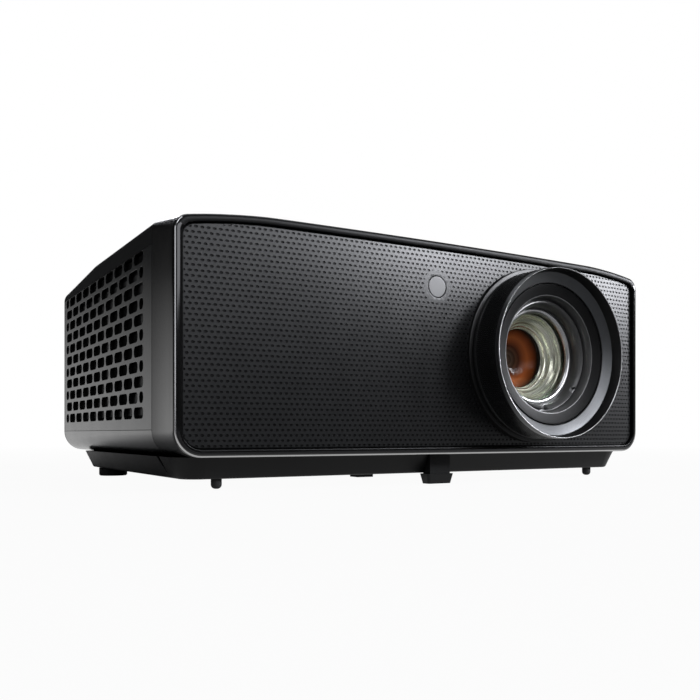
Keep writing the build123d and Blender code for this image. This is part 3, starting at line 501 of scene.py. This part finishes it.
def makePanel():
    bm = bmesh.new()
    makeDot(bm)
    left = dots["originX"] - dots["columnsBefore"] * dots["pitch"]
    bottom = dots["originZ"] - dots["rowsBelow"] * dots["rowPitch"]
    bmesh.ops.translate(bm, verts=bm.verts[:], vec=(left * mm, 0, bottom * mm))
    doubleUp(bm, (dots["pitch"] * mm, 0, 0), dots["columns"])
    dropFaces(bm, lambda c: abs(c.x) > housing["half"] * mm + dots["spare"] * mm)
    doubleUp(bm, (dots["pitch"] / 2 * mm, 0, dots["rowPitch"] * mm), 2)
    doubleUp(bm, (0, 0, 2 * dots["rowPitch"] * mm), dots["rows"] // 2)
    dropFaces(bm, lambda c: c.z > housing["top"] * mm or lensDistance(c) < panel["holeRadius"] * mm
              or sensorDistance(c) < sensor["clear"] * mm)
    bmesh.ops.remove_doubles(bm, verts=bm.verts[:], dist=panel["merge"] * mm)
    clipToOutline(bm, panel["opening"] + panel["gap"] + panelRim["width"])
    for v in bm.verts:
        v.co.y += (housing["front"] + panelDepth(v.co.x / mm, v.co.z / mm)) * mm
    print("dotted panel:", len(bm.faces), "faces")
    return finishPiece("dotted_panel", bm, ("panel", "paintedShade"), "housing", ("front_panel",),
                       sharpAngle=panel["sharpAngle"], recalc=False)


def edgeReach(co):
    # 0 at the panel's border, 1 where the rolled edge meets the flat of the panel
    gap = outlineGap(co, cornerPlan(panel["opening"] + panel["gap"]))
    return min(max(gap / panelRim["width"], 0.0), 1.0)


def makePanelEdge():
    # the panel's rolled edge, with a hem that runs back behind it
    bm = bmesh.new()
    faces = roundedOutline(bm, panel["opening"] + panel["gap"])
    for share in panelRim["steps"]:
        faces = insetFace(bm, faces, panelRim["width"] * share)
    bmesh.ops.delete(bm, geom=faces, context="FACES_ONLY")
    for v in bm.verts:
        roll = panelRim["drop"] * (1 - edgeReach(v.co)) ** 2
        v.co.y += panelDepth(v.co.x / mm, v.co.z / mm) * mm + roll * mm + panelRim["lift"] * mm
    border = [e for e in bm.edges if e.is_boundary]
    hem = [e for e in border if all(edgeReach(v.co) < panelRim["hemReach"] for v in e.verts)]
    moveNew(bm, bmesh.ops.extrude_edge_only(bm, edges=hem), (0, panelRim["hem"] * mm, 0))
    return finishPiece("panel_edge", bm, ("panel",), "housing",
                       sharpAngle=panelRim["sharpAngle"])


# remote sensor window, with a plain ring that closes the lattice round it
sensor = {"x": -11.8, "z": 116.1, "radius": 6.15, "gap": 0.35, "clear": 7.1, "surround": 9.8, "proud": 0.1,
          "depth": 4.0, "ringDepth": 2.0, "ringSunk": 0.03, "steps": 64}


def makeSensor():
    depth = panelDepth(sensor["x"], sensor["z"])
    centre = (sensor["x"] * mm, (housing["front"] + depth) * mm, sensor["z"] * mm)
    r, front = sensor["radius"], -sensor["proud"]
    bm = bmesh.new()
    window = [(0, sensor["depth"]), (r, sensor["depth"]), (r, 0.25), (r - 0.1, 0.02), (r - 0.3, front),
              (r - 0.42, front - 0.003), (r * 0.6, front - 0.02), (0, front - 0.025)]
    spinProfile(bm, window, centre, sensor["steps"], closed=False)
    finishPiece("sensor_lens", bm, ("sensor",), "housing", ("sensor_window",))
    ring = bmesh.new()
    bore, sunk = r + sensor["gap"], sensor["ringSunk"]
    surround = [(bore, sensor["ringDepth"]), (bore, 0.35), (r + 0.5, 0.06), (r + 0.7, sunk),
                (sensor["surround"], sunk)]
    spinProfile(ring, surround, centre, sensor["steps"], closed=False)
    for v in ring.verts:
        v.co.y += (panelDepth(v.co.x / mm, v.co.z / mm) - depth) * mm
    bmesh.ops.recalc_face_normals(ring, faces=ring.faces[:])
    faceFront(ring)
    finishPiece("sensor_surround", ring, ("panel",), "housing", recalc=False)


# side grilles: one sheet filled round the slots, given its wall and softened edges
grille = {"length": 18.0, "height": 6.3, "pitch": 21.0, "rowPitch": 8.58, "corner": 3.0, "cornerSteps": 5,
          "endFlat": 0.4, "least": 4.0, "topMargin": 3.5, "frontMargin": 15.5, "rearMargin": 6.0, "wall": 2.5,
          "gap": 0.22, "edge": 0.35, "edgeSteps": 2, "edgeAngle": 60.0, "sharpAngle": 20.0}


def slotSpans():
    start, end = housing["seam"] + grille["frontMargin"], housing["rearSeam"] - grille["rearMargin"]
    top, bottom = housing["highSeam"] - grille["topMargin"], housing["lowSeam"]
    rows = int((top - bottom - grille["height"]) / grille["rowPitch"]) + 1
    spans = []
    for row in range(rows):
        at = start - (row % 2) * grille["pitch"] / 2
        while at < end:
            low, high = max(at, start), min(at + grille["length"], end)
            if high - low >= grille["least"]:
                spans.append((low, high, top - row * grille["rowPitch"]))
            at += grille["pitch"]
    return spans


def sheetQuad(bm, low, high, bottom, top, x):
    # a rectangle in the side plane, facing +X
    place = Matrix.Translation((x * mm, (low + high) / 2 * mm, (bottom + top) / 2 * mm))
    size = Matrix.Diagonal(((top - bottom) / 2, (high - low) / 2, 1, 1))
    upright = place @ Matrix.Rotation(math.pi / 2, 4, "Y") @ size
    return bmesh.ops.create_grid(bm, x_segments=1, y_segments=1, size=mm, matrix=upright)["verts"]


def makeGrille(name, side, node):
    bm = bmesh.new()
    x, half, gap = side * housing["half"], grille["height"] / 2, grille["gap"]
    for low, high, z in slotSpans():
        corners = sheetQuad(bm, low, high, z - half, z + half, x)
        radius = min(grille["corner"], (high - low) / 2 - grille["endFlat"])
        roundCorners(bm, corners, radius, grille["cornerSteps"])
    sheetQuad(bm, housing["seam"] + gap, housing["rearSeam"] - gap, housing["lowSeam"] + gap,
              housing["highSeam"] - gap, x)
    bmesh.ops.delete(bm, geom=bm.faces[:], context="FACES_ONLY")
    bmesh.ops.triangle_fill(bm, use_beauty=True, use_dissolve=False, edges=bm.edges[:], normal=(side, 0, 0))
    inside = bmesh.ops.extrude_face_region(bm, geom=bm.faces[:])
    moveNew(bm, inside, (-side * grille["wall"] * mm, 0, 0))
    bmesh.ops.recalc_face_normals(bm, faces=bm.faces[:])
    softenEdges(bm, grille["edge"] * mm, grille["edgeSteps"],
                lambda e: all(abs(v.co.x - x * mm) < inPlane for v in e.verts), grille["edgeAngle"])
    bm.normal_update()
    for face in bm.faces:
        face.material_index = int(abs(face.normal.x) < 0.5)  # the walls of the slots get the dark finish: painted shade
    print(name, len(bm.faces), "faces")
    return finishPiece(name, bm, ("grille", "paintedShade"), "housing", (node,),
                       sharpAngle=grille["sharpAngle"])


screen = {"frontGap": 2.0, "rearGap": 2.5, "edgeGap": 1.0, "stand": 0.05, "wall": 0.25}


def makeShadeScreen():
    # thin black sheet laid against the inside of the intake grille, so that the slots show black: painted
    # shade
    bm = bmesh.new()
    sheetQuad(bm, housing["seam"] + screen["frontGap"], housing["rearSeam"] - screen["rearGap"],
              housing["lowSeam"] + screen["edgeGap"], housing["highSeam"] - screen["edgeGap"],
              grille["wall"] - housing["half"] + screen["stand"])
    moveNew(bm, bmesh.ops.extrude_face_region(bm, geom=bm.faces[:]), (screen["wall"] * mm, 0, 0))
    return finishPiece("intake_shade_screen", bm, ("screen",), "housing")


# lens: everything turned about the axis, as (radius, station behind the rim) in mm
def spinLens(bm, points, steps, closed=True):
    spinProfile(bm, points, (lens["x"], lens["rim"], lens["z"]), steps, closed)


def turnedPiece(name, points, look, body, replaced, closed=True):
    bm = bmesh.new()
    spinLens(bm, points, lens["steps"], closed)
    return finishPiece(name, bm, (look,), body, replaced)


def lensStation(co):
    return (co.y - lens["rim"]) / mm


def fromAxis(co):
    return Vector((co.x - lens["x"], 0, co.z - lens["z"]))


focusRing = {"outer": 52.2, "inner": 50.2, "length": 22.6, "bore": 48.46, "lip": 43.9, "band": 3.0,
             "mouth": 7.0, "mouthWall": 1.1, "web": 9.3, "webBack": 12.4, "rimTo": 0.12, "slack": 0.1,
             "ribs": 270, "ribSteps": 4, "ribValley": (2, 3), "ribDepth": 0.55, "ribStart": 3.6,
             "ribEnd": 20.6, "ribRunOut": 0.6}


def ringProfile():
    r = focusRing
    outer, inner, lip, runOut = r["outer"], r["inner"], r["lip"], r["ribRunOut"]
    rim = [(inner + 1.05, 0.2), (inner + 1.2, 0.03), (inner + 1.4, 0.0), (outer - 0.42, 0.14),
           (outer - 0.02, 2.6), (outer, r["band"])]
    knurl = [(outer, r["ribStart"]), (outer, r["ribStart"] + runOut), (outer, r["ribEnd"] - runOut),
             (outer, r["ribEnd"])]
    back = [(outer, r["length"] - 0.4), (outer - 0.4, r["length"]), (r["bore"], r["length"]),
            (r["bore"], r["webBack"]), (lip, r["webBack"])]
    cone = [(lip, r["web"] + 0.25), (lip + 0.3, r["web"]), (inner - 0.5, r["mouth"] + 0.1),
            (inner - 0.12, r["mouth"] - 0.15), (inner, r["mouth"] - 0.5)]
    return rim + knurl + back + cone


def cutKnurl(bm):
    r = focusRing
    steps, inset = r["ribs"] * r["ribSteps"], r["ribRunOut"] / 2
    low, high = lens["rim"] + (r["ribStart"] + inset) * mm, lens["rim"] + (r["ribEnd"] - inset) * mm
    for v in bm.verts:
        away = fromAxis(v.co)
        if low < v.co.y < high and away.length > (r["outer"] - r["slack"] / 2) * mm:
            step = round(math.atan2(away.z, away.x) / (2 * math.pi) * steps)
            if step % r["ribSteps"] in r["ribValley"]:
                v.co -= away.normalized() * r["ribDepth"] * mm


def makeFocusRing():
    r, slack = focusRing, focusRing["slack"]
    bm = bmesh.new()
    spinLens(bm, ringProfile(), r["ribs"] * r["ribSteps"])
    cutKnurl(bm)
    ring = finishPiece("knurled_focus_ring", bm, ("ring", "hood", "well", "silver"), "focus_ring",
                       ("focus_ring",))
    for face in ring.data.polygons:
        station, reach = lensStation(face.center), lensDistance(face.center) / mm
        if r["mouth"] - 2 * slack < station < r["web"] + slack and reach < r["inner"] + slack:
            face.material_index = 1  # satin cone
        elif slack < station < r["mouth"] and reach < r["inner"] + r["mouthWall"]:
            face.material_index = 2  # black mouth
        elif station < r["rimTo"]:
            face.material_index = 3  # bright rim
        elif station < r["band"]:
            face.material_index = 1  # satin band behind the rim
    return ring


cell = {"steps": 180, "notchAngles": (-40.0, -90.0), "notchHalf": 3.4, "notchDepth": 2.2, "crestTop": 15.9,
        "crestRadii": (31.0, 33.95), "crestStations": (15.0, 18.3), "dishRadii": (36.7, 43.4), "dishTo": 12.0,
        "dish": [(43.3, 10.05), (42.95, 9.75), (42.3, 9.8), (36.65, 11.35), (36.3, 11.42), (36.0, 11.75)],
        "groove": [(34.7, 17.8), (33.9, 17.95)],
        "crest": [(33.8, 16.6), (33.5, 16.1), (32.9, 15.9), (32.2, 16.5), (31.3, 18.2), (30.75, 20.0)],
        "seats": [(30.6, 21.0), (30.6, 23.2), (29.6, 23.2), (29.6, 41.6), (20.0, 41.6), (20.0, 48.0)],
        "back": [(43.3, 48.0)]}


def cutNotches(bm):
    # two spanner notches in the raised ring
    radii, stations = cell["crestRadii"], cell["crestStations"]
    for v in bm.verts:
        away = fromAxis(v.co)
        angle = math.degrees(math.atan2(away.z, away.x))
        onCrest = radii[0] < away.length / mm < radii[1] and stations[0] < lensStation(v.co) < stations[1]
        if onCrest and any(abs(angle - at) < cell["notchHalf"] for at in cell["notchAngles"]):
            v.co.y = max(v.co.y, lens["rim"] + (cell["crestTop"] + cell["notchDepth"]) * mm)


def makeCell():
    bm = bmesh.new()
    profile = cell["dish"] + cell["groove"] + cell["crest"] + cell["seats"] + cell["back"]
    spinLens(bm, profile, cell["steps"])
    cutNotches(bm)
    made = finishPiece("focus_cell_body", bm, ("cell", "dish"), "lens_cell", ("focus_cell",))
    low, high = cell["dishRadii"]
    for face in made.data.polygons:
        ahead = lensStation(face.center) < cell["dishTo"]
        face.material_index = int(ahead and low < lensDistance(face.center) / mm < high)  # the dish is black
    return made


collar = [(48.5, 23.3), (48.8, 23.0), (53.7, 23.0), (54.3, 23.25), (54.5, 23.9), (54.5, 35.0), (48.5, 35.0)]
retainer = [(27.2, 24.7), (27.35, 24.4), (28.2, 23.5), (28.5, 23.3), (28.9, 23.2), (29.35, 23.2),
            (29.5, 23.35), (29.5, 26.2), (27.2, 26.2)]
frontGlass = {"radius": 27.1, "edge": 26.2, "crown": 1.8, "flange": 29.5, "back": 29.2}
innerGlass = {"radius": 19.9, "edge": 42.9, "crown": -8.0, "flange": 19.9, "back": 52.4}
spacer = {"back": [(29.5, 29.2), (29.5, 39.5), (19.0, 39.5)], "mouth": [(27.0, 29.2)],
          "bands": [(19.2, 39.3, 1.3, 2.0), (20.7, 37.2, 1.9, 2.8), (22.8, 34.2, 3.8, 4.7)],
          "curve": [(0.0, 0.0), (0.3, 0.16), (0.62, 0.42), (0.86, 0.72), (1.0, 1.0)]}


def spacerProfile():
    # broad hollow bands: each has its start, its width and its height
    bands = [(radius + across * wide, station - along * tall)
             for radius, station, wide, tall in spacer["bands"] for across, along in spacer["curve"]]
    return spacer["back"] + bands + spacer["mouth"]


def glassProfile(glass, count=14):
    # a negative crown makes a hollow
    radius, crown = glass["radius"], glass["crown"]
    sphere = (radius ** 2 + crown ** 2) / (2 * abs(crown))
    points = []
    for i in range(count + 1):
        r = radius * i / count
        fall = math.copysign(sphere - math.sqrt(sphere ** 2 - r * r), crown)
        points.append((r, glass["edge"] - crown + fall))
    if glass["flange"] > radius:
        points.append((glass["flange"], glass["edge"]))
    return points + [(glass["flange"], glass["back"]), (0, glass["back"])]


def makeLens():
    makeFocusRing()
    makeCell()
    turnedPiece("lens_collar_band", collar, "collar", "housing", ("lens_collar",))
    turnedPiece("retaining_ring_bright", retainer, "silver", "lens_cell", ("retaining_ring",))
    turnedPiece("front_glass", glassProfile(frontGlass), "frontGlass", "lens_cell",
                ("front_element",), closed=False)
    turnedPiece("spacer_cone", spacerProfile(), "cone", "lens_cell", ("lens_spacer",))
    turnedPiece("inner_glass", glassProfile(innerGlass), "amber", "lens_cell",
                ("inner_element",), closed=False)


# finishes
finishes = {}
panelLook = {"dark": 0.0016, "pale": 0.0024, "tint": 0.08, "gloss": (0.315, 0.34), "grain": 2600.0,
             "depth": 0.008}
weave = {"phase": 6000.0, "depth": 0.05}  # phase per metre, depth in mm
amberRings = {"reach": 30.0, "stops": [
    (0.0, (0.05, 0.032, 0.024, 1)), (0.1, (0.02, 0.012, 0.008, 1)), (0.13, (0.045, 0.027, 0.018, 1)),
    (0.2, (0.02, 0.009, 0.005, 1)), (0.24, (0.05, 0.022, 0.012, 1)), (0.3, (0.03, 0.008, 0.004, 1)),
    (0.48, (0.22, 0.055, 0.014, 1)), (0.6, (0.1, 0.022, 0.005, 1)), (0.66, (0.012, 0.004, 0.002, 1))]}


def panelFinish():
    finish = Finish("panel_satin")
    drift = finish.remap(finish.noise(scale=14.0, detail=3.0), 0.0, 1.0)
    spark = finish.noise(panelLook["grain"], roughness=0.6)
    finish.set(colour=finish.blend(drift, grey(panelLook["dark"], panelLook["tint"]),
                                   grey(panelLook["pale"], panelLook["tint"])),
               roughness=finish.remap(finish.noise(scale=90.0, detail=3.0), *panelLook["gloss"]),
               specular=0.25, normal=finish.bump(spark, 0.15, panelLook["depth"] * mm))
    return finish.material


def glassFinish(name, colour, facing, edge, roughness):
    # coated glass: see-through face on, more mirror towards its edge
    finish = Finish(name)
    smear = finish.noise(scale=70.0, detail=4.0, roughness=0.6)
    turned = finish.add("ShaderNodeLayerWeight", None, {"Blend": 0.35}, output="Facing")
    finish.set(colour=colour, metallic=1.0, roughness=finish.remap(smear, roughness, roughness + 0.03),
               alpha=finish.remap(turned, facing, edge, 0.0, 1.0))
    return finish.material


def ringedGlass(name, rings, roughness):
    # coated glass whose tint follows the distance from the lens axis
    finish = Finish(name)
    place = lensPlace(finish)
    flat = finish.add("ShaderNodeVectorMath", {"operation": "MULTIPLY"}, {0: place, 1: (1, 0, 1)})
    radius = finish.add("ShaderNodeVectorMath", {"operation": "LENGTH"}, {0: flat}, output="Value")
    tone = finish.add("ShaderNodeValToRGB", {"stops": rings["stops"]}, {0: radius / (rings["reach"] * mm)})
    smear = finish.noise(scale=60.0, detail=3.0)
    finish.set(colour=tone, roughness=finish.remap(smear, roughness, roughness + 0.04), specular=0.06)
    return finish.material


def screenFinish():
    # black woven sheet, painted shade behind the intake slots
    finish = Finish("shade_screen_weave")
    deep, tall = finish.split(finish.objectCoords())[1:]
    rows = finish.add("ShaderNodeMath", {"operation": "SINE"}, {0: deep * weave["phase"]})
    columns = finish.add("ShaderNodeMath", {"operation": "SINE"}, {0: tall * weave["phase"]})
    cloth = rows * columns
    finish.set(colour=finish.blend(finish.remap(cloth, 0.0, 1.0, -1.0, 1.0), grey(0.0008), grey(0.003)),
               roughness=0.9, specular=0.1, normal=finish.bump(cloth, 0.4, weave["depth"] * mm))
    return finish.material


def caseFinishes():
    finishes.update({
        "bezel": mouldedPlastic("bezel_gloss_black", grey(0.0015), grey(0.0025), roughness=0.1, specular=0.5,
                                grain=900.0, depth=0.0004, spread=0.015),
        # painted highlight: bright metal on the bezel's outer edge where its rounding catches the light
        "paintedHighlight": mouldedPlastic("bezel_painted_highlight", grey(0.36), grey(0.42), roughness=0.16, specular=0.5,
                               grain=900.0, depth=0.0004, spread=0.015, metallic=1.0),
        "panel": panelFinish(),
        # painted shade: a darker, duller finish for the panel's dimples, the grille's slot walls and the top
        # of the bezel ring
        "paintedShade": mouldedPlastic("painted_shade_dark", grey(0.0008), grey(0.0012), roughness=0.38, specular=0.1,
                                 spread=0.02),
        "sensor": mouldedPlastic("sensor_smoked", grey(0.1), grey(0.11), roughness=0.35, specular=0.4,
                                 grain=800.0, depth=0.001, spread=0.02),
        "grille": mouldedPlastic("grille_slate", grey(0.006, 0.12), grey(0.008, 0.12), roughness=0.22,
                                 specular=0.3),
        "screen": screenFinish(),
        "shell": mouldedPlastic("shell_satin_black", grey(0.0045, 0.05), grey(0.006, 0.05), roughness=0.2,
                                specular=0.4, seam=housing["seam"]),
        "lid": mouldedPlastic("lid_fine_grain", grey(0.004, 0.05), grey(0.006, 0.05), roughness=0.85,
                              specular=0.1, grain=1500.0, depth=0.02),
        "rear": mouldedPlastic("rear_satin_black", grey(0.006, 0.05), grey(0.009, 0.05), roughness=0.45,
                               specular=0.3, grain=1500.0, depth=0.02),
        "keypad": mouldedPlastic("keypad_black", grey(0.006), grey(0.009), roughness=0.7, specular=0.12),
        "key": mouldedPlastic("key_grey", grey(0.04), grey(0.05), roughness=0.8, specular=0.2),
        "plinth": mouldedPlastic("plinth_black", grey(0.0025, 0.04), grey(0.004, 0.04), roughness=0.42,
                                 specular=0.14),
        "rubber": mouldedPlastic("foot_rubber", grey(0.006), grey(0.01), roughness=0.75, specular=0.25,
                                 grain=900.0, depth=0.05),
        "light": glassFinish("light_clear", grey(0.5, 0.02), facing=0.5, edge=0.9, roughness=0.1),
    })


def lensFinishes():
    finishes.update({
        "collar": mouldedPlastic("collar_black", grey(0.002), grey(0.003), roughness=0.35, specular=0.2),
        "ring": turnedMetal("ring_satin_black", grey(0.01, 0.03), grey(0.014, 0.03), roughness=0.26,
                            metallic=0.3),
        "hood": turnedMetal("hood_satin_grey", grey(0.048, 0.03), grey(0.06, 0.03), roughness=0.36,
                            metallic=0.8),
        "well": turnedMetal("mouth_matt_black", grey(0.002), grey(0.003), roughness=0.4, metallic=0.0,
                            specular=0.2),
        "cell": turnedMetal("cell_satin_black", grey(0.06), grey(0.07), roughness=0.36, metallic=0.6),
        "dish": turnedMetal("dish_matt_black", grey(0.002), grey(0.003), roughness=0.36, metallic=0.0,
                            specular=0.045),
        "silver": turnedMetal("retainer_silver", grey(0.42), grey(0.5), roughness=0.26),
        "cone": turnedMetal("cone_silver", (0.62, 0.62, 0.5, 1), (0.72, 0.73, 0.62, 1), roughness=0.24,
                            metallic=0.9, bump=0.02),
        "frontGlass": glassFinish("front_glass_coated", (0.55, 0.75, 0.5, 1), facing=0.005, edge=0.14,
                                  roughness=0.05),
        "amber": ringedGlass("amber_glass_coated", amberRings, roughness=0.1),
        "rearGlass": glassFinish("rear_glass_coated", (0.3, 0.4, 0.5, 1), facing=0.3, edge=0.6,
                                 roughness=0.03),
    })


def innerFinishes():
    finishes.update({
        "metal": turnedMetal("plain_aluminium", grey(0.4), grey(0.48), roughness=0.4),
        "steel": turnedMetal("plain_steel", grey(0.5), grey(0.58), roughness=0.3),
        "brass": turnedMetal("insert_brass", (0.7, 0.5, 0.2, 1), (0.78, 0.58, 0.26, 1), roughness=0.3),
        "wheel": turnedMetal("wheel_coated", (0.6, 0.55, 0.3, 1), (0.7, 0.65, 0.4, 1), roughness=0.15),
        "board": mouldedPlastic("board_green", (0.01, 0.06, 0.03, 1), (0.015, 0.08, 0.04, 1), roughness=0.35,
                                specular=0.5),
        "fan": mouldedPlastic("fan_black", grey(0.006), grey(0.009), roughness=0.45, specular=0.35),
        "socket": mouldedPlastic("socket_black", grey(0.006), grey(0.01), roughness=0.4, specular=0.4),
    })


slotFinish = {
    "bezel_gloss": "bezel", "frame_satin": "shell", "panel_dotted": "panel", "sensor_smoke": "sensor",
    "grille_slate": "grille", "plinth_black": "plinth", "ring_satin": "ring", "cell_black": "cell",
    "lens_silver": "silver", "front_glass": "frontGlass", "amber_glass": "amber", "rear_glass": "rearGlass",
    "cast_metal": "metal", "sink_metal": "metal", "board_green": "board", "fan_black": "fan",
    "motor_steel": "steel", "wheel_mirror": "wheel", "socket_shell": "steel", "socket_black": "socket",
    "keypad_black": "keypad", "key_grey": "key", "light_clear": "light", "foot_rubber": "rubber",
    "insert_brass": "brass",
}
ownFinish = {"top_cover": "lid", "rear_panel": "rear"}  # covers that share a slot with the frame


def dressNodes():
    slots = {part["node"]: part["material_slot"] for part in frame["record"]["subparts"]}
    for name, node in nodes.items():
        look = ownFinish.get(name, slotFinish[slots[name]])
        node.data.materials.clear()
        node.data.materials.append(finishes[look])


# studio: pale floor, a white backdrop behind the object and dim surroundings in front of it, in metres
studio = {"sky": 0.025, "zenith": 0.02, "zenithAt": 0.8, "backdropTop": 0.2, "backdropFade": (0.1, 0.5),
          "viewWay": (0.515, 0.857), "tint": (0.96, 0.975, 1.03), "aim": (0, 0, 0.09)}
table = {"size": 12.0, "tones": (0.13, 0.14), "under": (0.17, 0.13), "underFade": (-0.01, 0.03),
         "behindFade": (-0.15, 0.15), "edge": -0.115, "edgeFade": (0.015, 0.06), "paintedGlow": 0.9,
         "white": (0.955, 1.0), "whiteFade": (0.35, 1.5)}
lamps = {"key": {"place": (1.03, -1.27, 0.92), "size": (0.42, 0.42), "power": 37.0},
         "fill": {"place": (0.5, -1.6, 1.0), "size": (0.85, 0.36), "power": 16.0},
         "right": {"place": (1.58, -0.82, 0.6), "size": (0.55, 0.35), "power": 33.0},
         "left": {"place": (-1.75, -0.62, 0.5), "size": (1.0, 1.0), "power": 3.6},
         "top": {"place": (0.15, 0.4, 1.6), "size": (1.3, 0.5), "power": 12.0},
         "corner": {"place": (-0.8, -0.8, 1.45), "size": (0.9, 0.9), "power": 7.0},
         "front": {"place": (-0.35, -2.0, 0.75), "size": (1.4, 0.7), "power": 12.0},
         "back": {"place": (0.42, 1.9, 0.75), "size": (1.0, 0.6), "power": 14.0}}


def makeSoftbox(name, lamp):
    data = bpy.data.lights.new(name + "_softbox", "AREA")
    data.shape = "RECTANGLE"
    data.size, data.size_y = lamp["size"]
    data.energy = lamp["power"]
    data.color = studio["tint"]
    softbox = bpy.data.objects.new(name + "_softbox", data)
    softbox.location = lamp["place"]
    softbox.rotation_euler = (Vector(studio["aim"]) - softbox.location).to_track_quat("-Z", "Y").to_euler()
    softbox.visible_camera = False
    scene.collection.objects.link(softbox)


def alongView(across, deep):
    return across * studio["viewWay"][0] + deep * studio["viewWay"][1]


def floorFinish():
    # white to the camera, apart from the shadow; gloss shows it white behind the object, and a strip just in
    # front of it glows in reflections as painted light
    pale = Finish("floor_pale")
    drift = pale.remap(pale.noise(scale=3.0), 0.0, 1.0)
    pale.set(colour=pale.blend(drift, grey(table["tones"][0]), grey(table["tones"][1])), roughness=0.9,
             specular=0.1)
    place = pale.objectCoords()
    away = pale.add("ShaderNodeVectorMath", {"operation": "LENGTH"}, {0: place}, output="Value")
    across, deep = pale.split(place)[:2]
    behind = pale.remap(alongView(across, deep), 0.0, 1.0, *table["behindFade"])
    beside = (abs(across) - table["under"][0]).larger(abs(deep) - table["under"][1])
    clear = pale.remap(beside, 0.0, 1.0, *table["underFade"])  # dark under the object
    # painted light: a strip of floor at the object's front edge that shows white in reflections, for the lit
    # floor in front of it
    edge = pale.remap(abs(deep - table["edge"]), table["paintedGlow"], 0.0, *table["edgeFade"])
    white = pale.remap(away, *table["white"], *table["whiteFade"])  # the shadow stays near the object
    mirrored = pale.seenBy("Glossy") * (behind * clear).larger(edge)
    share = pale.seenBy("Camera") * white + pale.seenBy("Transmission") + mirrored
    pale.mixWith(share, pale.add("ShaderNodeEmission", None, {"Color": grey(1.0), "Strength": 1.0}))
    return pale.material


def makeFloor():
    bm = bmesh.new()
    bmesh.ops.create_grid(bm, x_segments=1, y_segments=1, size=table["size"])
    mesh = bpy.data.meshes.new("floor")
    bm.to_mesh(mesh)
    bm.free()
    mesh.materials.append(floorFinish())
    floor = bpy.data.objects.new("floor", mesh)
    scene.collection.objects.link(floor)


def makeWorld():
    world = bpy.data.worlds.new("studio")
    scene.world = world
    world.use_nodes = True
    tree = NodeTree(world.node_tree)
    across, deep, tall = tree.split(tree.add("ShaderNodeTexCoord", output="Generated"))
    rise = tree.remap(tall, 1.0, 0.0, 0.0, studio["backdropTop"])
    behind = tree.remap(alongView(across, deep), 0.0, 1.0, *studio["backdropFade"])
    height = tree.remap(tall, 0.0, 1.0, 0.0, studio["zenithAt"])
    sky = tree.blend(height, grey(studio["sky"]), grey(studio["zenith"]))
    share = tree.seenBy("Camera") + tree.seenBy("Transmission") + tree.seenBy("Glossy") * rise * behind
    shown = tree.blend(share, sky, grey(1.0))
    tree.links.new(shown.socket, tree.nodes["Background"].inputs["Color"])


view = {"place": (-0.29624, -0.49333, 0.0303), "turn": -30.995, "focal": 41.0945, "sensor": 36.0,
        "shiftY": 0.11927, "clip": 0.01}


def makeCamera():
    data = bpy.data.cameras.new("photo_view")
    data.sensor_width = view["sensor"]
    data.lens = view["focal"]
    data.shift_y = view["shiftY"]
    data.clip_start = view["clip"]
    camera = bpy.data.objects.new("photo_view", data)
    camera.location = view["place"]
    camera.rotation_euler = (math.pi / 2, 0, math.radians(view["turn"]))
    scene.collection.objects.link(camera)
    scene.camera = camera


caseFinishes()
lensFinishes()
innerFinishes()
dressNodes()
print("finishes:", len(finishes))
makeBezel()
makePanel()
makePanelEdge()
makeSensor()
makeGrille("left_grille_sheet", -1, "side_grille_left")
makeGrille("right_grille_sheet", 1, "side_grille_right")
makeShadeScreen()
makeLens()
makeFloor()
makeWorld()
for name, lamp in lamps.items():
    makeSoftbox(name, lamp)
makeCamera()
print("studio:", len(lamps), "lamps")
